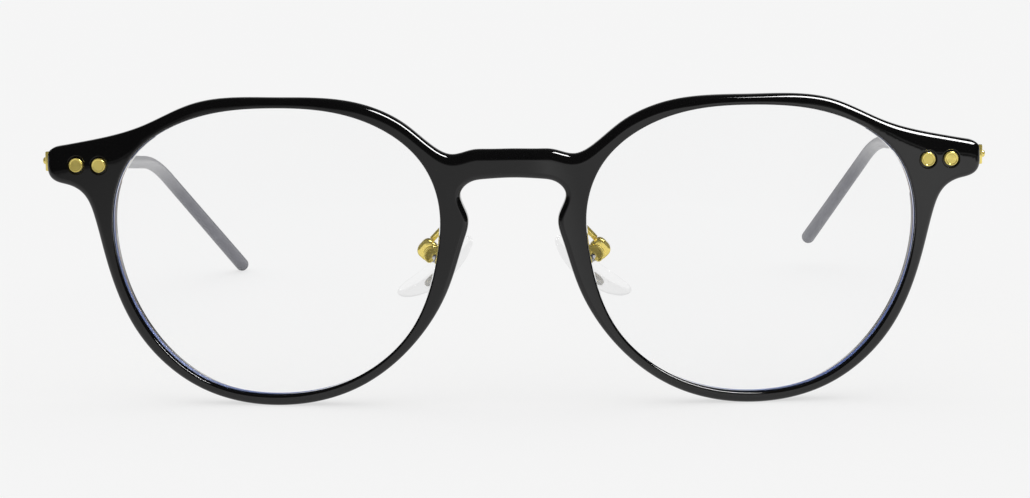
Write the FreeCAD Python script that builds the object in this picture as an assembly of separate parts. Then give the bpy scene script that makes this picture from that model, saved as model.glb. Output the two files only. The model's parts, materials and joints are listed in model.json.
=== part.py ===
import FreeCAD, Part
import math
import os

# Round eyeglasses with an acetate front and slim metal temples.
# Lengths are millimetres and angles are degrees.
# +X is the wearer's left, +Y runs back towards the ears and +Z is up.
# While the pieces are made, z is zero at the height of the lens centres and
# y is zero at the middle of the front's outer face. The whole assembly is
# moved at the end, so that its origin lies under its middle on the table.
# Every piece of a side is made for the wearer's left and mirrored for the right.

Vector = FreeCAD.Vector

# Lenses, measured in their own tilted plane
LENS_WIDTH = 50.0
LENS_HEIGHT = 43.5
LENS_THICKNESS = 2.0
LENS_CURVE_RADIUS = 130.0
BEVEL_HEIGHT = 0.55
BEVEL_HALF_WIDTH = 0.6
LENS_CLEARANCE = 0.06
RIDGE_SHARE = 0.575

# Front
BRIDGE_GAP = 22.0
BRIDGE_RISE = 15.4
BRIDGE_DEPTH = 4.1
RIM_FACE = 1.55
FRONT_THICKNESS = 4.0
FRONT_CURVE_RADIUS = 330.0
FRONT_EDGE_RADIUS = 0.8
BACK_EDGE_RADIUS = 0.5
LENS_EDGE_RADIUS = 0.3
END_REACH = 10.1
END_HEIGHT = 5.2
FITTING_HEIGHT = 13.0

# Rivets through the end pieces
RIVET_SPACING = 3.6
RIVET_FROM_LENS = 3.4
RIVET_RADIUS = 0.7
RIVET_HEAD_RADIUS = 1.07
RIVET_HEAD_RISE = 0.2
RIVET_TAIL_RADIUS = 0.95
RIVET_TAIL_HEIGHT = 0.4
RIVET_BEVEL = 0.22
RIVET_HOLLOW = 0.07
RECESS_RADIUS = 1.4
RECESS_DEPTH = 0.4
FIT_CLEARANCE = 0.05

# Gold angle behind each end piece
BRACKET_THICKNESS = 1.0
BRACKET_HEIGHT = 2.9
BRACKET_INNER_REACH = 3.3
BRACKET_OVERHANG = 1.2
BRACKET_CORNER_RADIUS = 0.7
LEG_HEIGHT = 2.7
LEG_LENGTH = 7.6
BOSS_RADIUS = 0.58
BOSS_RISE = 0.75
BOSS_PLACE = 3.2

# Hinge
KNUCKLE_RADIUS = 1.4
KNUCKLE_COUNT = 3
KNUCKLE_HEIGHT = 0.9
KNUCKLE_GAP = 0.05
LEAF_THICKNESS = 0.8
LEAF_SETBACK = 1.4
LEAF_CORNER_RADIUS = 0.9
PIN_RADIUS = 0.6
PIN_HEAD_RADIUS = 1.05
PIN_HEAD_HEIGHT = 0.45
PIN_END_RISE = 0.2
SLOT_WIDTH = 0.28
SLOT_DEPTH = 0.25
BUTT_GAP = 0.12
HINGE_RUNNING_GAP = 0.12

# Temples: a bowed metal arm and a slim tip bent down behind the ear
ARM_HEIGHT = 2.7
ARM_END_HEIGHT = 1.9
ARM_THICKNESS = 1.0
ARM_LENGTH = 54.0
ARM_BOW_RADIUS = 530.0
SLEEVE_LEAD = 26.6
BEND_RADIUS = 25.0
TIP_LENGTH = 54.5
TIP_RADIUS = 1.1
TIP_END_RADIUS = 1.25
TIP_END_ROUNDING = 1.15
COLLAR_RADIUS = 0.95
COLLAR_LENGTH = 2.5
CORE_RADIUS = 0.5
CORE_END_COVER = 12.0
CORE_SEAT = 2.0

# How the temples are set: each one has been adjusted on its own.
LEG_DROP = 5.35
TEMPLE_DROP = {"left": 4.6, "right": 6.63}
TEMPLE_INWARD = {"left": 1.4, "right": 0.7}
TIP_DROP = {"left": 21.7, "right": 21.6}
TIP_INWARD = {"left": 8.2, "right": 12.4}

# Nose pads, their boxes and arms
PAD_SCREW_X = 12.05
PAD_SCREW_Y = 9.6
PAD_SCREW_Z = -1.65
PAD_BOX_TURN = 43.0
PAD_PLAY = 10.0
PAD_SPLAY = 12.0
PAD_LENGTH = 14.2
PAD_WIDTH = 7.6
PAD_THICKNESS = 1.8
PAD_FACE_RADIUS = 14.0
PAD_BACK_RADIUS = 22.0
PAD_EDGE_RADIUS = 0.45
PAD_STAND_OFF = 2.6
PAD_SLIDE = 0.9
LUG_RADIUS = 0.95
LUG_THICKNESS = 1.1
LUG_WIDTH = 1.3
CORE_PLATE_LENGTH = 6.0
CORE_PLATE_WIDTH = 3.0
CORE_PLATE_THICKNESS = 0.5
BOX_LENGTH = 3.0
BOX_DEPTH = 3.2
BOX_BACK = 2.9
BOX_FRONT = 0.2
BOX_CHAMFER = 0.45
BOX_RUNNING_GAP = 0.1
BOX_SLOT_REACH = 1.1
PAD_PIN_RADIUS = 0.45
WIRE_RADIUS = 0.45
WIRE_BEND_RADIUS = 1.8
WIRE_SEAT_BACK = 0.8
WIRE_SEAT_UP = 1.0
FOOT_X = 9.15
FOOT_WIRE_Z = 4.5
FOOT_SCREW_Z = 7.1
FOOT_WIDTH = 2.3
FOOT_THICKNESS = 0.6
FOOT_SCREW_RADIUS = 0.45
FOOT_SCREW_DEPTH = 2.4
FOOT_HEAD_RADIUS = 0.85
FOOT_HEAD_HEIGHT = 0.4

OVERRUN = 2.0
TOUCH = 0.001

# The front's outline is one curve, kept as this many edges so that it rounds cleanly.
OUTLINE_PIECES = 16

# How many places of an edge are looked at to see which face it lies on
EDGE_SAMPLES = 7

# The lens outline from its top over its nasal side: shares of half its width
# and of half its height.
lens_outline_shares = [
    (0.0, 1.0), (-0.474, 0.938), (-0.903, 0.595), (-0.990, 0.304),
    (-0.977, 0.0), (-0.814, -0.537), (-0.449, -0.888), (0.0, -1.0),
    (0.453, -0.897), (0.804, -0.530), (0.988, 0.0), (0.996, 0.305),
    (0.910, 0.600), (0.472, 0.934),
]

# The top of the front from the bridge out to the rim: x from the lens's nasal
# edge as shares of half the lens width, z from the bridge's top as shares of
# the rise to the lens's top.
brow_shares = [(-0.28, -0.006), (-0.198, -0.02), (-0.068, -0.126), (0.04, 0.079), (0.2, 0.586)]

# The rim over the lens: a lens outline point and its shares of RIM_FACE.
rim_top_shares = [(-0.474, 0.938, 1.40), (0.0, 1.0, 0.93), (0.472, 0.934, 1.34)]

# The end piece: x from the lens's temporal edge as shares of END_REACH,
# z from the fittings as shares of END_HEIGHT.
end_piece_shares = [
    (-0.46, 1.12), (0.13, 0.765), (0.5, 0.615), (0.80, 0.505), (0.884, 0.470),
    (0.949, 0.404), (0.978, 0.316), (0.985, 0.154), (0.985, -0.15), (0.968, -0.285),
    (0.922, -0.415), (0.845, -0.508), (0.66, -0.602), (0.46, -0.818), (0.28, -1.52),
]

# The rim under the lens, as the rim over it.
rim_bottom_shares = [
    (0.988, 0.0, 1.19), (0.804, -0.530, 1.10), (0.453, -0.897, 0.95),
    (0.0, -1.0, 1.02), (-0.449, -0.888, 1.03), (-0.814, -0.537, 1.19),
]

# The nose side and the keyhole: x as shares of half the bridge gap, z as
# shares of the height of the bridge's lower edge.
nose_shares = [
    (0.89, -0.478), (0.663, 0.195), (0.615, 0.451), (0.714, 0.80), (0.58, 0.942), (0.386, 0.982),
]


def sag(radius, distance):
    """How far a circle has curved away at a distance from where it is touched."""
    return radius - math.sqrt(radius ** 2 - distance ** 2)


def turned(axis, degrees, base=Vector(0, 0, 0)):
    """The frame at a point that is turned about an axis."""
    return FreeCAD.Placement(base, FreeCAD.Rotation(axis, degrees))


def front_frame(x, z=0.0):
    """The frame on the front's outer face at x, with y into the material."""
    slope = math.degrees(math.asin(x / FRONT_CURVE_RADIUS))
    return turned(Vector(0, 0, 1), slope, Vector(x, sag(FRONT_CURVE_RADIUS, x), z))


def placed(shape, frame):
    """A copy of a shape that was made in a frame of its own."""
    copy = shape.copy()
    copy.Placement = frame.multiply(copy.Placement)
    return copy


def mirrored(shape):
    """The same piece for the wearer's other side."""
    return shape.mirror(Vector(0, 0, 0), Vector(1, 0, 0))


def closed_curve(points, start_direction, pieces=1):
    """A smooth closed wire through points, with its direction given at the first."""
    directions = [start_direction] * len(points)
    given = [place == 0 for place in range(len(points))]
    curve = Part.BSplineCurve()
    curve.interpolate(Points=points, PeriodicFlag=True, Tangents=directions, TangentFlags=given)
    steps = [curve.LastParameter * place / pieces for place in range(pieces + 1)]
    return Part.Wire([curve.toShape(*ends) for ends in zip(steps, steps[1:])])


def prism(points, direction):
    """A straight block over a closed outline of straight sides."""
    return Part.Face(Part.makePolygon(points + points[:1])).extrude(direction)


def centred_box(length, depth, height, centre):
    """A block whose middle lies at a point."""
    corner = centre - Vector(length / 2, depth / 2, height / 2)
    return Part.makeBox(length, depth, height, corner)


def turned_piece(outline, axis=Vector(0, 1, 0)):
    """A round piece about the Y axis: the outline gives radius and place along it."""
    points = [Vector(radius, along, 0) for radius, along in outline]
    face = Part.Face(Part.makePolygon(points + points[:1]))
    return face.revolve(Vector(0, 0, 0), axis, 360)


# Places that several pieces share
LENS_CENTRE_REACH = BRIDGE_GAP / 2 + LENS_WIDTH / 2
LENS_TILT = math.degrees(math.asin(LENS_CENTRE_REACH / FRONT_CURVE_RADIUS))
LENS_CENTRE_X = BRIDGE_GAP / 2 + LENS_WIDTH / 2 * math.cos(math.radians(LENS_TILT))
LENS_OUTER_X = 2 * LENS_CENTRE_X - BRIDGE_GAP / 2
END_X = LENS_OUTER_X + END_REACH
RIVET_MIDDLE = BRIDGE_GAP / 2 + LENS_WIDTH + RIVET_FROM_LENS
RIDGE_PLACE = RIDGE_SHARE * FRONT_THICKNESS
LENS_MEAN_RADIUS = (LENS_WIDTH + LENS_HEIGHT) / 4
LENS_VERTEX = RIDGE_PLACE - sag(LENS_CURVE_RADIUS, LENS_MEAN_RADIUS) - LENS_THICKNESS / 2


def lens_point(across, up, grow):
    """A point of the lens outline, moved outwards by an amount."""
    x = across * LENS_WIDTH / 2
    z = up * LENS_HEIGHT / 2
    reach = math.hypot(x, z)
    return x * (reach + grow) / reach, z * (reach + grow) / reach


def lens_wire(grow, y):
    """The lens outline at a depth, moved outwards by an amount."""
    points = []
    for across, up in lens_outline_shares:
        x, z = lens_point(across, up, grow)
        points.append(Vector(x, y, z))
    return closed_curve(points, Vector(-1, 0, 0))


def bevelled_disc(grow, front, back):
    """A disc with the lens outline and a bevel ridge round its edge."""
    sections = [
        lens_wire(grow, front),
        lens_wire(grow, RIDGE_PLACE - BEVEL_HALF_WIDTH),
        lens_wire(grow + BEVEL_HEIGHT, RIDGE_PLACE),
        lens_wire(grow, RIDGE_PLACE + BEVEL_HALF_WIDTH),
        lens_wire(grow, back),
    ]
    return Part.makeLoft(sections, True, True)


def make_lens():
    """A domed lens with its bevel."""
    edge_sag = sag(LENS_CURVE_RADIUS, LENS_MEAN_RADIUS)
    front = LENS_VERTEX - OVERRUN
    back = LENS_VERTEX + edge_sag + LENS_THICKNESS + OVERRUN
    centre = Vector(0, LENS_VERTEX + LENS_CURVE_RADIUS, 0)
    outer = Part.makeSphere(LENS_CURVE_RADIUS, centre)
    inner = Part.makeSphere(LENS_CURVE_RADIUS - LENS_THICKNESS, centre)
    lens = bevelled_disc(0.0, front, back).common(outer).cut(inner)
    return placed(lens, front_frame(LENS_CENTRE_X))


def rim_point(across, up, share):
    """A point of the front's outline, beyond the lens outline."""
    x, z = lens_point(across, up, share * RIM_FACE)
    return Vector(LENS_CENTRE_X + x * math.cos(math.radians(LENS_TILT)), 0, z)


def front_outline():
    """The front's outline: one half from the bridge's top round to its underside, then the other."""
    bridge_under = BRIDGE_RISE - BRIDGE_DEPTH
    points = []
    for across, up in brow_shares:
        x = BRIDGE_GAP / 2 + across * LENS_WIDTH / 2
        points.append(Vector(x, 0, BRIDGE_RISE + up * (LENS_HEIGHT / 2 - BRIDGE_RISE)))
    points += [rim_point(*place) for place in rim_top_shares]
    for across, up in end_piece_shares:
        points.append(Vector(LENS_OUTER_X + across * END_REACH, 0, FITTING_HEIGHT + up * END_HEIGHT))
    points += [rim_point(*place) for place in rim_bottom_shares]
    for across, up in nose_shares:
        points.append(Vector(across * BRIDGE_GAP / 2, 0, up * bridge_under))
    other_half = [Vector(-p.x, 0, p.z) for p in reversed(points)]
    top = Vector(0, 0, BRIDGE_RISE)
    under = Vector(0, 0, bridge_under)
    return closed_curve([top] + points + [under] + other_half, Vector(1, 0, 0), OUTLINE_PIECES)


def bent_face(radius):
    """The cylinder that one of the front's two faces follows."""
    tall = LENS_HEIGHT + 2 * END_HEIGHT
    return Part.makeCylinder(radius, 2 * tall, Vector(0, FRONT_CURVE_RADIUS, -tall))


def edges_at(shape, radius):
    """The edges that lie on one of the front's two curved faces."""
    found = []
    for edge in shape.Edges:
        places = edge.discretize(EDGE_SAMPLES)
        depths = [math.hypot(p.x, p.y - FRONT_CURVE_RADIUS) for p in places]
        if all(abs(depth - radius) < TOUCH for depth in depths):
            found.append(edge)
    return found


def make_front_blank():
    """The acetate front with both grooved openings, before any hole is drilled."""
    depth = sag(FRONT_CURVE_RADIUS, END_X) + FRONT_THICKNESS
    start = FreeCAD.Placement(Vector(0, -OVERRUN, 0), FreeCAD.Rotation())
    blank = placed(Part.Face(front_outline()), start)
    blank = blank.extrude(Vector(0, depth + 2 * OVERRUN, 0))
    faces = (FRONT_CURVE_RADIUS - FRONT_THICKNESS, FRONT_CURVE_RADIUS)
    blank = blank.common(bent_face(faces[1])).cut(bent_face(faces[0]))
    for radius, rounding in zip(faces, (BACK_EDGE_RADIUS, FRONT_EDGE_RADIUS)):
        blank = blank.makeFillet(rounding, edges_at(blank, radius))
    opening_back = FRONT_THICKNESS + sag(FRONT_CURVE_RADIUS, LENS_WIDTH / 2) + OVERRUN
    opening = bevelled_disc(LENS_CLEARANCE, -OVERRUN, opening_back)
    opening = placed(opening, front_frame(LENS_CENTRE_X))
    blank = blank.cut(opening).cut(mirrored(opening))
    for radius in faces:
        rings = [e for e in edges_at(blank, radius) if e.isClosed()]
        blank = blank.makeFillet(LENS_EDGE_RADIUS, rings)
    return blank


def rivet_frames():
    """The frames of the two rivets of one end piece."""
    middle = front_frame(RIVET_MIDDLE, FITTING_HEIGHT)
    steps = (-RIVET_SPACING / 2, RIVET_SPACING / 2)
    return [middle.multiply(FreeCAD.Placement(Vector(step, 0, 0), FreeCAD.Rotation())) for step in steps]


def rivet_holes():
    """What the rivets take out of the front: a bore and a round recess each."""
    bore = RIVET_RADIUS + FIT_CLEARANCE
    hole = turned_piece([
        (0, -OVERRUN), (RECESS_RADIUS, -OVERRUN), (RECESS_RADIUS, RECESS_DEPTH),
        (bore, RECESS_DEPTH), (bore, FRONT_THICKNESS + OVERRUN), (0, FRONT_THICKNESS + OVERRUN),
    ])
    return [placed(hole, frame) for frame in rivet_frames()]


def make_rivets():
    """Two rivets with bevelled, slightly hollow heads and peened tails."""
    grip = FRONT_THICKNESS + BRACKET_THICKNESS
    head = turned_piece([
        (0, -RIVET_HEAD_RISE + RIVET_HOLLOW),
        (RIVET_HEAD_RADIUS - 2 * RIVET_BEVEL, -RIVET_HEAD_RISE + RIVET_HOLLOW),
        (RIVET_HEAD_RADIUS - RIVET_BEVEL, -RIVET_HEAD_RISE),
        (RIVET_HEAD_RADIUS, -RIVET_HEAD_RISE + RIVET_BEVEL),
        (RIVET_HEAD_RADIUS, RECESS_DEPTH), (RIVET_RADIUS, RECESS_DEPTH), (RIVET_RADIUS, grip),
        (RIVET_TAIL_RADIUS, grip),
        (RIVET_TAIL_RADIUS - RIVET_BEVEL, grip + RIVET_TAIL_HEIGHT),
        (0, grip + RIVET_TAIL_HEIGHT),
    ])
    return Part.makeCompound([placed(head, frame) for frame in rivet_frames()])


# The gold angle's plan: where its outer corner and its leg lie
BRACKET_SLOPE = math.asin(RIVET_MIDDLE / FRONT_CURVE_RADIUS)
LEG_OUTER_X = END_X + BRACKET_OVERHANG
LEG_INNER_X = LEG_OUTER_X - BRACKET_THICKNESS
HINGE_X = LEG_INNER_X - KNUCKLE_RADIUS - HINGE_RUNNING_GAP


def bracket_seat_y(x):
    """The y at x of the flat plane behind the end piece that the angle lies on."""
    base = front_frame(RIVET_MIDDLE).multVec(Vector(0, FRONT_THICKNESS, 0))
    return base.y + (x - base.x) * math.tan(BRACKET_SLOPE)


BRACKET_BACK_STEP = BRACKET_THICKNESS / math.cos(BRACKET_SLOPE)
LEG_START_Y = bracket_seat_y(LEG_OUTER_X)
HINGE_Y = LEG_START_Y + LEG_LENGTH
LEAF_LENGTH = LEG_LENGTH - LEAF_SETBACK
TOTAL_REACH = 2 * (LENS_WIDTH + ARM_LENGTH + SLEEVE_LEAD + TIP_LENGTH)
HINGE_Z = FITTING_HEIGHT - LEG_LENGTH * math.tan(math.radians(LEG_DROP))


def leg_band():
    """Side view of the angle: level behind the end piece, then sloping down to the hinge."""
    half = BRACKET_HEIGHT / 2
    leg_half = LEG_HEIGHT / 2
    start = bracket_seat_y(RIVET_MIDDLE - BRACKET_INNER_REACH) - OVERRUN
    bend = LEG_START_Y + BRACKET_THICKNESS
    side = LEG_OUTER_X + OVERRUN
    points = [
        Vector(side, start, FITTING_HEIGHT - half), Vector(side, bend, FITTING_HEIGHT - half),
        Vector(side, HINGE_Y, HINGE_Z - leg_half), Vector(side, HINGE_Y, HINGE_Z + leg_half),
        Vector(side, bend, FITTING_HEIGHT + half), Vector(side, start, FITTING_HEIGHT + half),
    ]
    return prism(points, Vector(-LEG_OUTER_X, 0, 0))


def make_end_bracket(front_blank):
    """The gold angle: a plate riveted behind the end piece, and a leg back to the hinge."""
    inner_x = RIVET_MIDDLE - BRACKET_INNER_REACH
    low = -LENS_HEIGHT
    plan = [
        Vector(inner_x, bracket_seat_y(inner_x), low),
        Vector(LEG_OUTER_X, bracket_seat_y(LEG_OUTER_X), low),
        Vector(LEG_OUTER_X, HINGE_Y - BUTT_GAP / 2, low),
        Vector(LEG_INNER_X, HINGE_Y - BUTT_GAP / 2, low),
        Vector(LEG_INNER_X, bracket_seat_y(LEG_INNER_X) + BRACKET_BACK_STEP, low),
        Vector(inner_x, bracket_seat_y(inner_x) + BRACKET_BACK_STEP, low),
    ]
    angle = prism(plan, Vector(0, 0, 2 * LENS_HEIGHT))
    upright = [e for e in angle.Edges if abs(e.Vertexes[0].Z - e.Vertexes[-1].Z) > LENS_HEIGHT]
    corner = [e for e in upright if abs(e.Vertexes[0].X - LEG_OUTER_X) < TOUCH]
    corner = [e for e in corner if e.Vertexes[0].Y < HINGE_Y - BRACKET_THICKNESS]
    angle = angle.makeFillet(BRACKET_CORNER_RADIUS, corner)
    angle = angle.common(leg_band())
    round_end = Part.makeCylinder(BRACKET_HEIGHT / 2, 2 * OVERRUN + FRONT_THICKNESS,
                                  Vector(0, -OVERRUN, 0), Vector(0, 1, 0))
    plate_end = front_frame(RIVET_MIDDLE, FITTING_HEIGHT)
    end_shift = Vector(BRACKET_HEIGHT / 2 - BRACKET_INNER_REACH, FRONT_THICKNESS, 0)
    end_frame = plate_end.multiply(FreeCAD.Placement(end_shift, FreeCAD.Rotation()))
    keep = centred_box(2 * LEG_OUTER_X, 4 * LENS_WIDTH, 4 * LENS_HEIGHT, Vector(LEG_OUTER_X, 0, 0))
    keep = placed(keep, end_frame)
    angle = angle.common(keep.fuse(placed(round_end, end_frame)))
    bore = Part.makeCylinder(RIVET_RADIUS + FIT_CLEARANCE, 2 * LENS_WIDTH,
                             Vector(0, -LENS_WIDTH, 0), Vector(0, 1, 0))
    for frame in rivet_frames():
        angle = angle.cut(placed(bore, frame))
    return angle.cut(boss_bore()).cut(front_blank)


def boss_point():
    """Where the bracket rivet's axis meets the leg's outer face."""
    y = LEG_START_Y + BOSS_PLACE
    drop = (BOSS_PLACE - BRACKET_THICKNESS) * math.tan(math.radians(LEG_DROP))
    return Vector(LEG_OUTER_X, y, FITTING_HEIGHT - drop)


def boss_bore():
    """The bore of the bracket rivet through the leg and the hinge's leaf."""
    start = boss_point() - Vector(LENS_WIDTH / 2, 0, 0)
    return Part.makeCylinder(BOSS_RADIUS, LENS_WIDTH, start, Vector(1, 0, 0))


def make_bracket_rivet():
    """The rivet that holds the hinge's leaf to the leg, with its round head outside."""
    grip = BRACKET_THICKNESS + LEAF_THICKNESS
    shank = BOSS_RADIUS - FIT_CLEARANCE
    rivet = turned_piece([
        (0, -BOSS_RISE), (BOSS_RADIUS / 2, -BOSS_RISE), (BOSS_RADIUS, -BOSS_RISE / 2),
        (BOSS_RADIUS, 0), (shank, 0), (shank, grip), (RIVET_HEAD_RADIUS, grip),
        (BOSS_RADIUS, grip + RIVET_TAIL_HEIGHT / 2), (0, grip + RIVET_TAIL_HEIGHT / 2),
    ])
    return placed(rivet, turned(Vector(0, 0, 1), 90, boss_point()))


def hinge_zones():
    """The heights where the hinge's knuckles start, from the lowest to the highest."""
    pitch = KNUCKLE_HEIGHT + KNUCKLE_GAP
    low = HINGE_Z - (KNUCKLE_COUNT * pitch - KNUCKLE_GAP) / 2
    return [low + place * pitch for place in range(KNUCKLE_COUNT)]


def knuckle(level, radius, height, low_grow=0.0):
    """One cylinder about the hinge's axis."""
    base = Vector(HINGE_X, HINGE_Y, hinge_zones()[level] - low_grow)
    return Part.makeCylinder(radius, height + 2 * low_grow, base)


def hinge_bore():
    """The bore of the hinge's screw through all three knuckles."""
    base = Vector(HINGE_X, HINGE_Y, HINGE_Z - LENS_HEIGHT)
    return Part.makeCylinder(PIN_RADIUS + FIT_CLEARANCE, 2 * LENS_HEIGHT, base)


def half_space(behind):
    """Everything behind the butt joint at the hinge, or everything in front of it."""
    edge = HINGE_Y + BUTT_GAP / 2 if behind else HINGE_Y - BUTT_GAP / 2 - TOTAL_REACH
    return Part.makeBox(TOTAL_REACH, TOTAL_REACH, 2 * TOTAL_REACH, Vector(0, edge, -TOTAL_REACH))


def leaf_plate(frame, behind):
    """A hinge leaf on the metal's inner face, from the butt joint along a frame's y."""
    corner = Vector(-LEAF_THICKNESS, -OVERRUN, -LEG_HEIGHT / 2)
    plate = Part.makeBox(LEAF_THICKNESS, OVERRUN + LEAF_LENGTH, LEG_HEIGHT, corner)
    ends = [e for e in plate.Edges if all(abs(v.Y - LEAF_LENGTH) < TOUCH for v in e.Vertexes)]
    ends = [e for e in ends if abs(e.Vertexes[0].X - e.Vertexes[-1].X) > TOUCH]
    return placed(plate.makeFillet(LEAF_CORNER_RADIUS, ends), frame).common(half_space(behind))


def clear_of_knuckles(leaf, levels):
    """Cuts running room round the other leaf's knuckles."""
    for level in levels:
        leaf = leaf.cut(knuckle(level, KNUCKLE_RADIUS + HINGE_RUNNING_GAP, KNUCKLE_HEIGHT, KNUCKLE_GAP))
    return leaf


def make_front_leaf():
    """The front's hinge leaf with the top and the bottom knuckle."""
    facing = turned(Vector(1, 0, 0), 180 - LEG_DROP, Vector(LEG_INNER_X, HINGE_Y, HINGE_Z))
    plate = leaf_plate(facing, False)
    leaf = plate.fuse([knuckle(0, KNUCKLE_RADIUS, KNUCKLE_HEIGHT), knuckle(2, KNUCKLE_RADIUS, KNUCKLE_HEIGHT)])
    leaf = clear_of_knuckles(leaf, [1])
    return leaf.cut(hinge_bore()).cut(boss_bore()).removeSplitter()


def make_hinge_screw():
    """The hinge's screw: a slotted head above, a plain pin through the knuckles."""
    low = hinge_zones()[0] - PIN_END_RISE
    top = hinge_zones()[2] + KNUCKLE_HEIGHT
    pin = Part.makeCylinder(PIN_RADIUS, top - low, Vector(HINGE_X, HINGE_Y, low))
    head = Part.makeCylinder(PIN_HEAD_RADIUS, PIN_HEAD_HEIGHT, Vector(HINGE_X, HINGE_Y, top))
    rim = [e for e in head.Edges if abs(e.BoundBox.ZMin - top - PIN_HEAD_HEIGHT) < TOUCH]
    head = head.makeFillet(PIN_HEAD_HEIGHT / 2, rim)
    middle = Vector(HINGE_X, HINGE_Y, top + PIN_HEAD_HEIGHT)
    slot = centred_box(4 * PIN_HEAD_RADIUS, SLOT_WIDTH, 2 * SLOT_DEPTH, middle)
    return pin.fuse(head).cut(slot)


def temple_frame(side):
    """The frame of a temple: y runs down along it from the butt with the leg."""
    base = Vector(LEG_INNER_X + BRACKET_THICKNESS / 2, HINGE_Y, HINGE_Z)
    inward = turned(Vector(0, 0, 1), TEMPLE_INWARD[side], base)
    return inward.multiply(turned(Vector(1, 0, 0), -TEMPLE_DROP[side]))


def temple_route(side):
    """The places and directions along a temple's middle, in the temple's frame."""
    bow = ARM_LENGTH / ARM_BOW_RADIUS
    arm_end = Vector(-ARM_BOW_RADIUS * (1 - math.cos(bow)), ARM_BOW_RADIUS * math.sin(bow), 0)
    ahead = Vector(-math.sin(bow), math.cos(bow), 0)
    drop = math.radians(TIP_DROP[side])
    inward = math.radians(TIP_INWARD[side])
    down = Vector(-math.sin(inward) * math.cos(drop), math.cos(inward) * math.cos(drop), -math.sin(drop))
    corner = arm_end + ahead * SLEEVE_LEAD
    run = BEND_RADIUS * math.tan(ahead.getAngle(down) / 2)
    bend_start = corner - ahead * run
    bend_end = corner + down * run
    to_centre = down - ahead * ahead.dot(down)
    to_centre.normalize()
    centre = bend_start + to_centre * BEND_RADIUS
    mid = corner - centre
    mid.normalize()
    return {
        "arm_end": arm_end, "ahead": ahead, "bend_start": bend_start,
        "bend_middle": centre + mid * BEND_RADIUS, "bend_end": bend_end,
        "down": down, "tip_end": corner + down * TIP_LENGTH,
    }


def tube_along(start, route, finish, radius):
    """A round rod from a place, through the temple's bend, to another place."""
    edges = [
        Part.makeLine(start, route["bend_start"]),
        Part.Arc(route["bend_start"], route["bend_middle"], route["bend_end"]).toShape(),
    ]
    if finish:
        edges.append(Part.makeLine(route["bend_end"], finish))
    profile = Part.Wire([Part.makeCircle(radius, start, route["ahead"])])
    return Part.Wire(edges).makePipeShell([profile], True, False)


def make_temple_arm(side):
    """The bowed metal arm, tapered to a core wire that runs inside the tip."""
    route = temple_route(side)
    wide = 2 * ARM_THICKNESS + sag(ARM_BOW_RADIUS, ARM_LENGTH)
    side_view = prism([
        Vector(ARM_THICKNESS, -OVERRUN, -ARM_HEIGHT / 2),
        Vector(ARM_THICKNESS, route["arm_end"].y, -ARM_END_HEIGHT / 2),
        Vector(ARM_THICKNESS, route["arm_end"].y, ARM_END_HEIGHT / 2),
        Vector(ARM_THICKNESS, -OVERRUN, ARM_HEIGHT / 2),
    ], Vector(-wide - ARM_THICKNESS, 0, 0))
    base = Vector(-ARM_BOW_RADIUS, 0, -ARM_HEIGHT)
    outer = Part.makeCylinder(ARM_BOW_RADIUS + ARM_THICKNESS / 2, 2 * ARM_HEIGHT, base)
    inner = Part.makeCylinder(ARM_BOW_RADIUS - ARM_THICKNESS / 2, 2 * ARM_HEIGHT, base)
    strip = side_view.common(outer).cut(inner)
    finish = route["tip_end"] - route["down"] * CORE_END_COVER
    core = tube_along(route["arm_end"] - route["ahead"] * CORE_SEAT, route, finish, CORE_RADIUS)
    return placed(strip.fuse(core), temple_frame(side)).common(half_space(True))


def make_temple_tip(side):
    """The slim tip: a collar, a straight lead, the bend and a tapered round end."""
    route = temple_route(side)
    start = route["arm_end"] + route["ahead"] * COLLAR_LENGTH
    collar = Part.makeCone(COLLAR_RADIUS, TIP_RADIUS, COLLAR_LENGTH, route["arm_end"], route["ahead"])
    lead = tube_along(start, route, None, TIP_RADIUS)
    taper_run = (route["tip_end"] - route["bend_end"]).Length
    taper = Part.makeCone(TIP_RADIUS, TIP_END_RADIUS, taper_run, route["bend_end"], route["down"])
    end = [e for e in taper.Edges if (e.CenterOfMass - route["tip_end"]).Length < TOUCH]
    tip = lead.fuse([collar, taper.makeFillet(TIP_END_ROUNDING, end)])
    finish = route["tip_end"] - route["down"] * (CORE_END_COVER - FIT_CLEARANCE)
    bore_start = route["arm_end"] - route["ahead"] * OVERRUN
    bore = tube_along(bore_start, route, finish, CORE_RADIUS + FIT_CLEARANCE)
    return placed(tip.cut(bore), temple_frame(side))


def make_temple_leaf(side):
    """The temple's hinge leaf with the middle knuckle."""
    bow = sag(ARM_BOW_RADIUS, LEAF_LENGTH)
    inner_face = FreeCAD.Placement(Vector(-ARM_THICKNESS / 2 - bow, 0, 0), FreeCAD.Rotation())
    plate = leaf_plate(temple_frame(side).multiply(inner_face), True)
    leaf = plate.fuse(knuckle(1, KNUCKLE_RADIUS, KNUCKLE_HEIGHT))
    leaf = clear_of_knuckles(leaf, [0, 2])
    return leaf.cut(hinge_bore()).removeSplitter()


# The nose pad's rocking axis runs front to back through its screw.
PAD_AXIS = Vector(PAD_SCREW_X, PAD_SCREW_Y, PAD_SCREW_Z)


def box_frame():
    """The pad box's frame: z along the pad's length, x away from the nose, y to the back."""
    return turned(Vector(0, 1, 0), -PAD_BOX_TURN, PAD_AXIS)


def pad_frame():
    """The pad's frame at rest, rocked down to the end of its play."""
    return turned(Vector(0, 1, 0), -(PAD_BOX_TURN + PAD_PLAY), PAD_AXIS)


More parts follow.
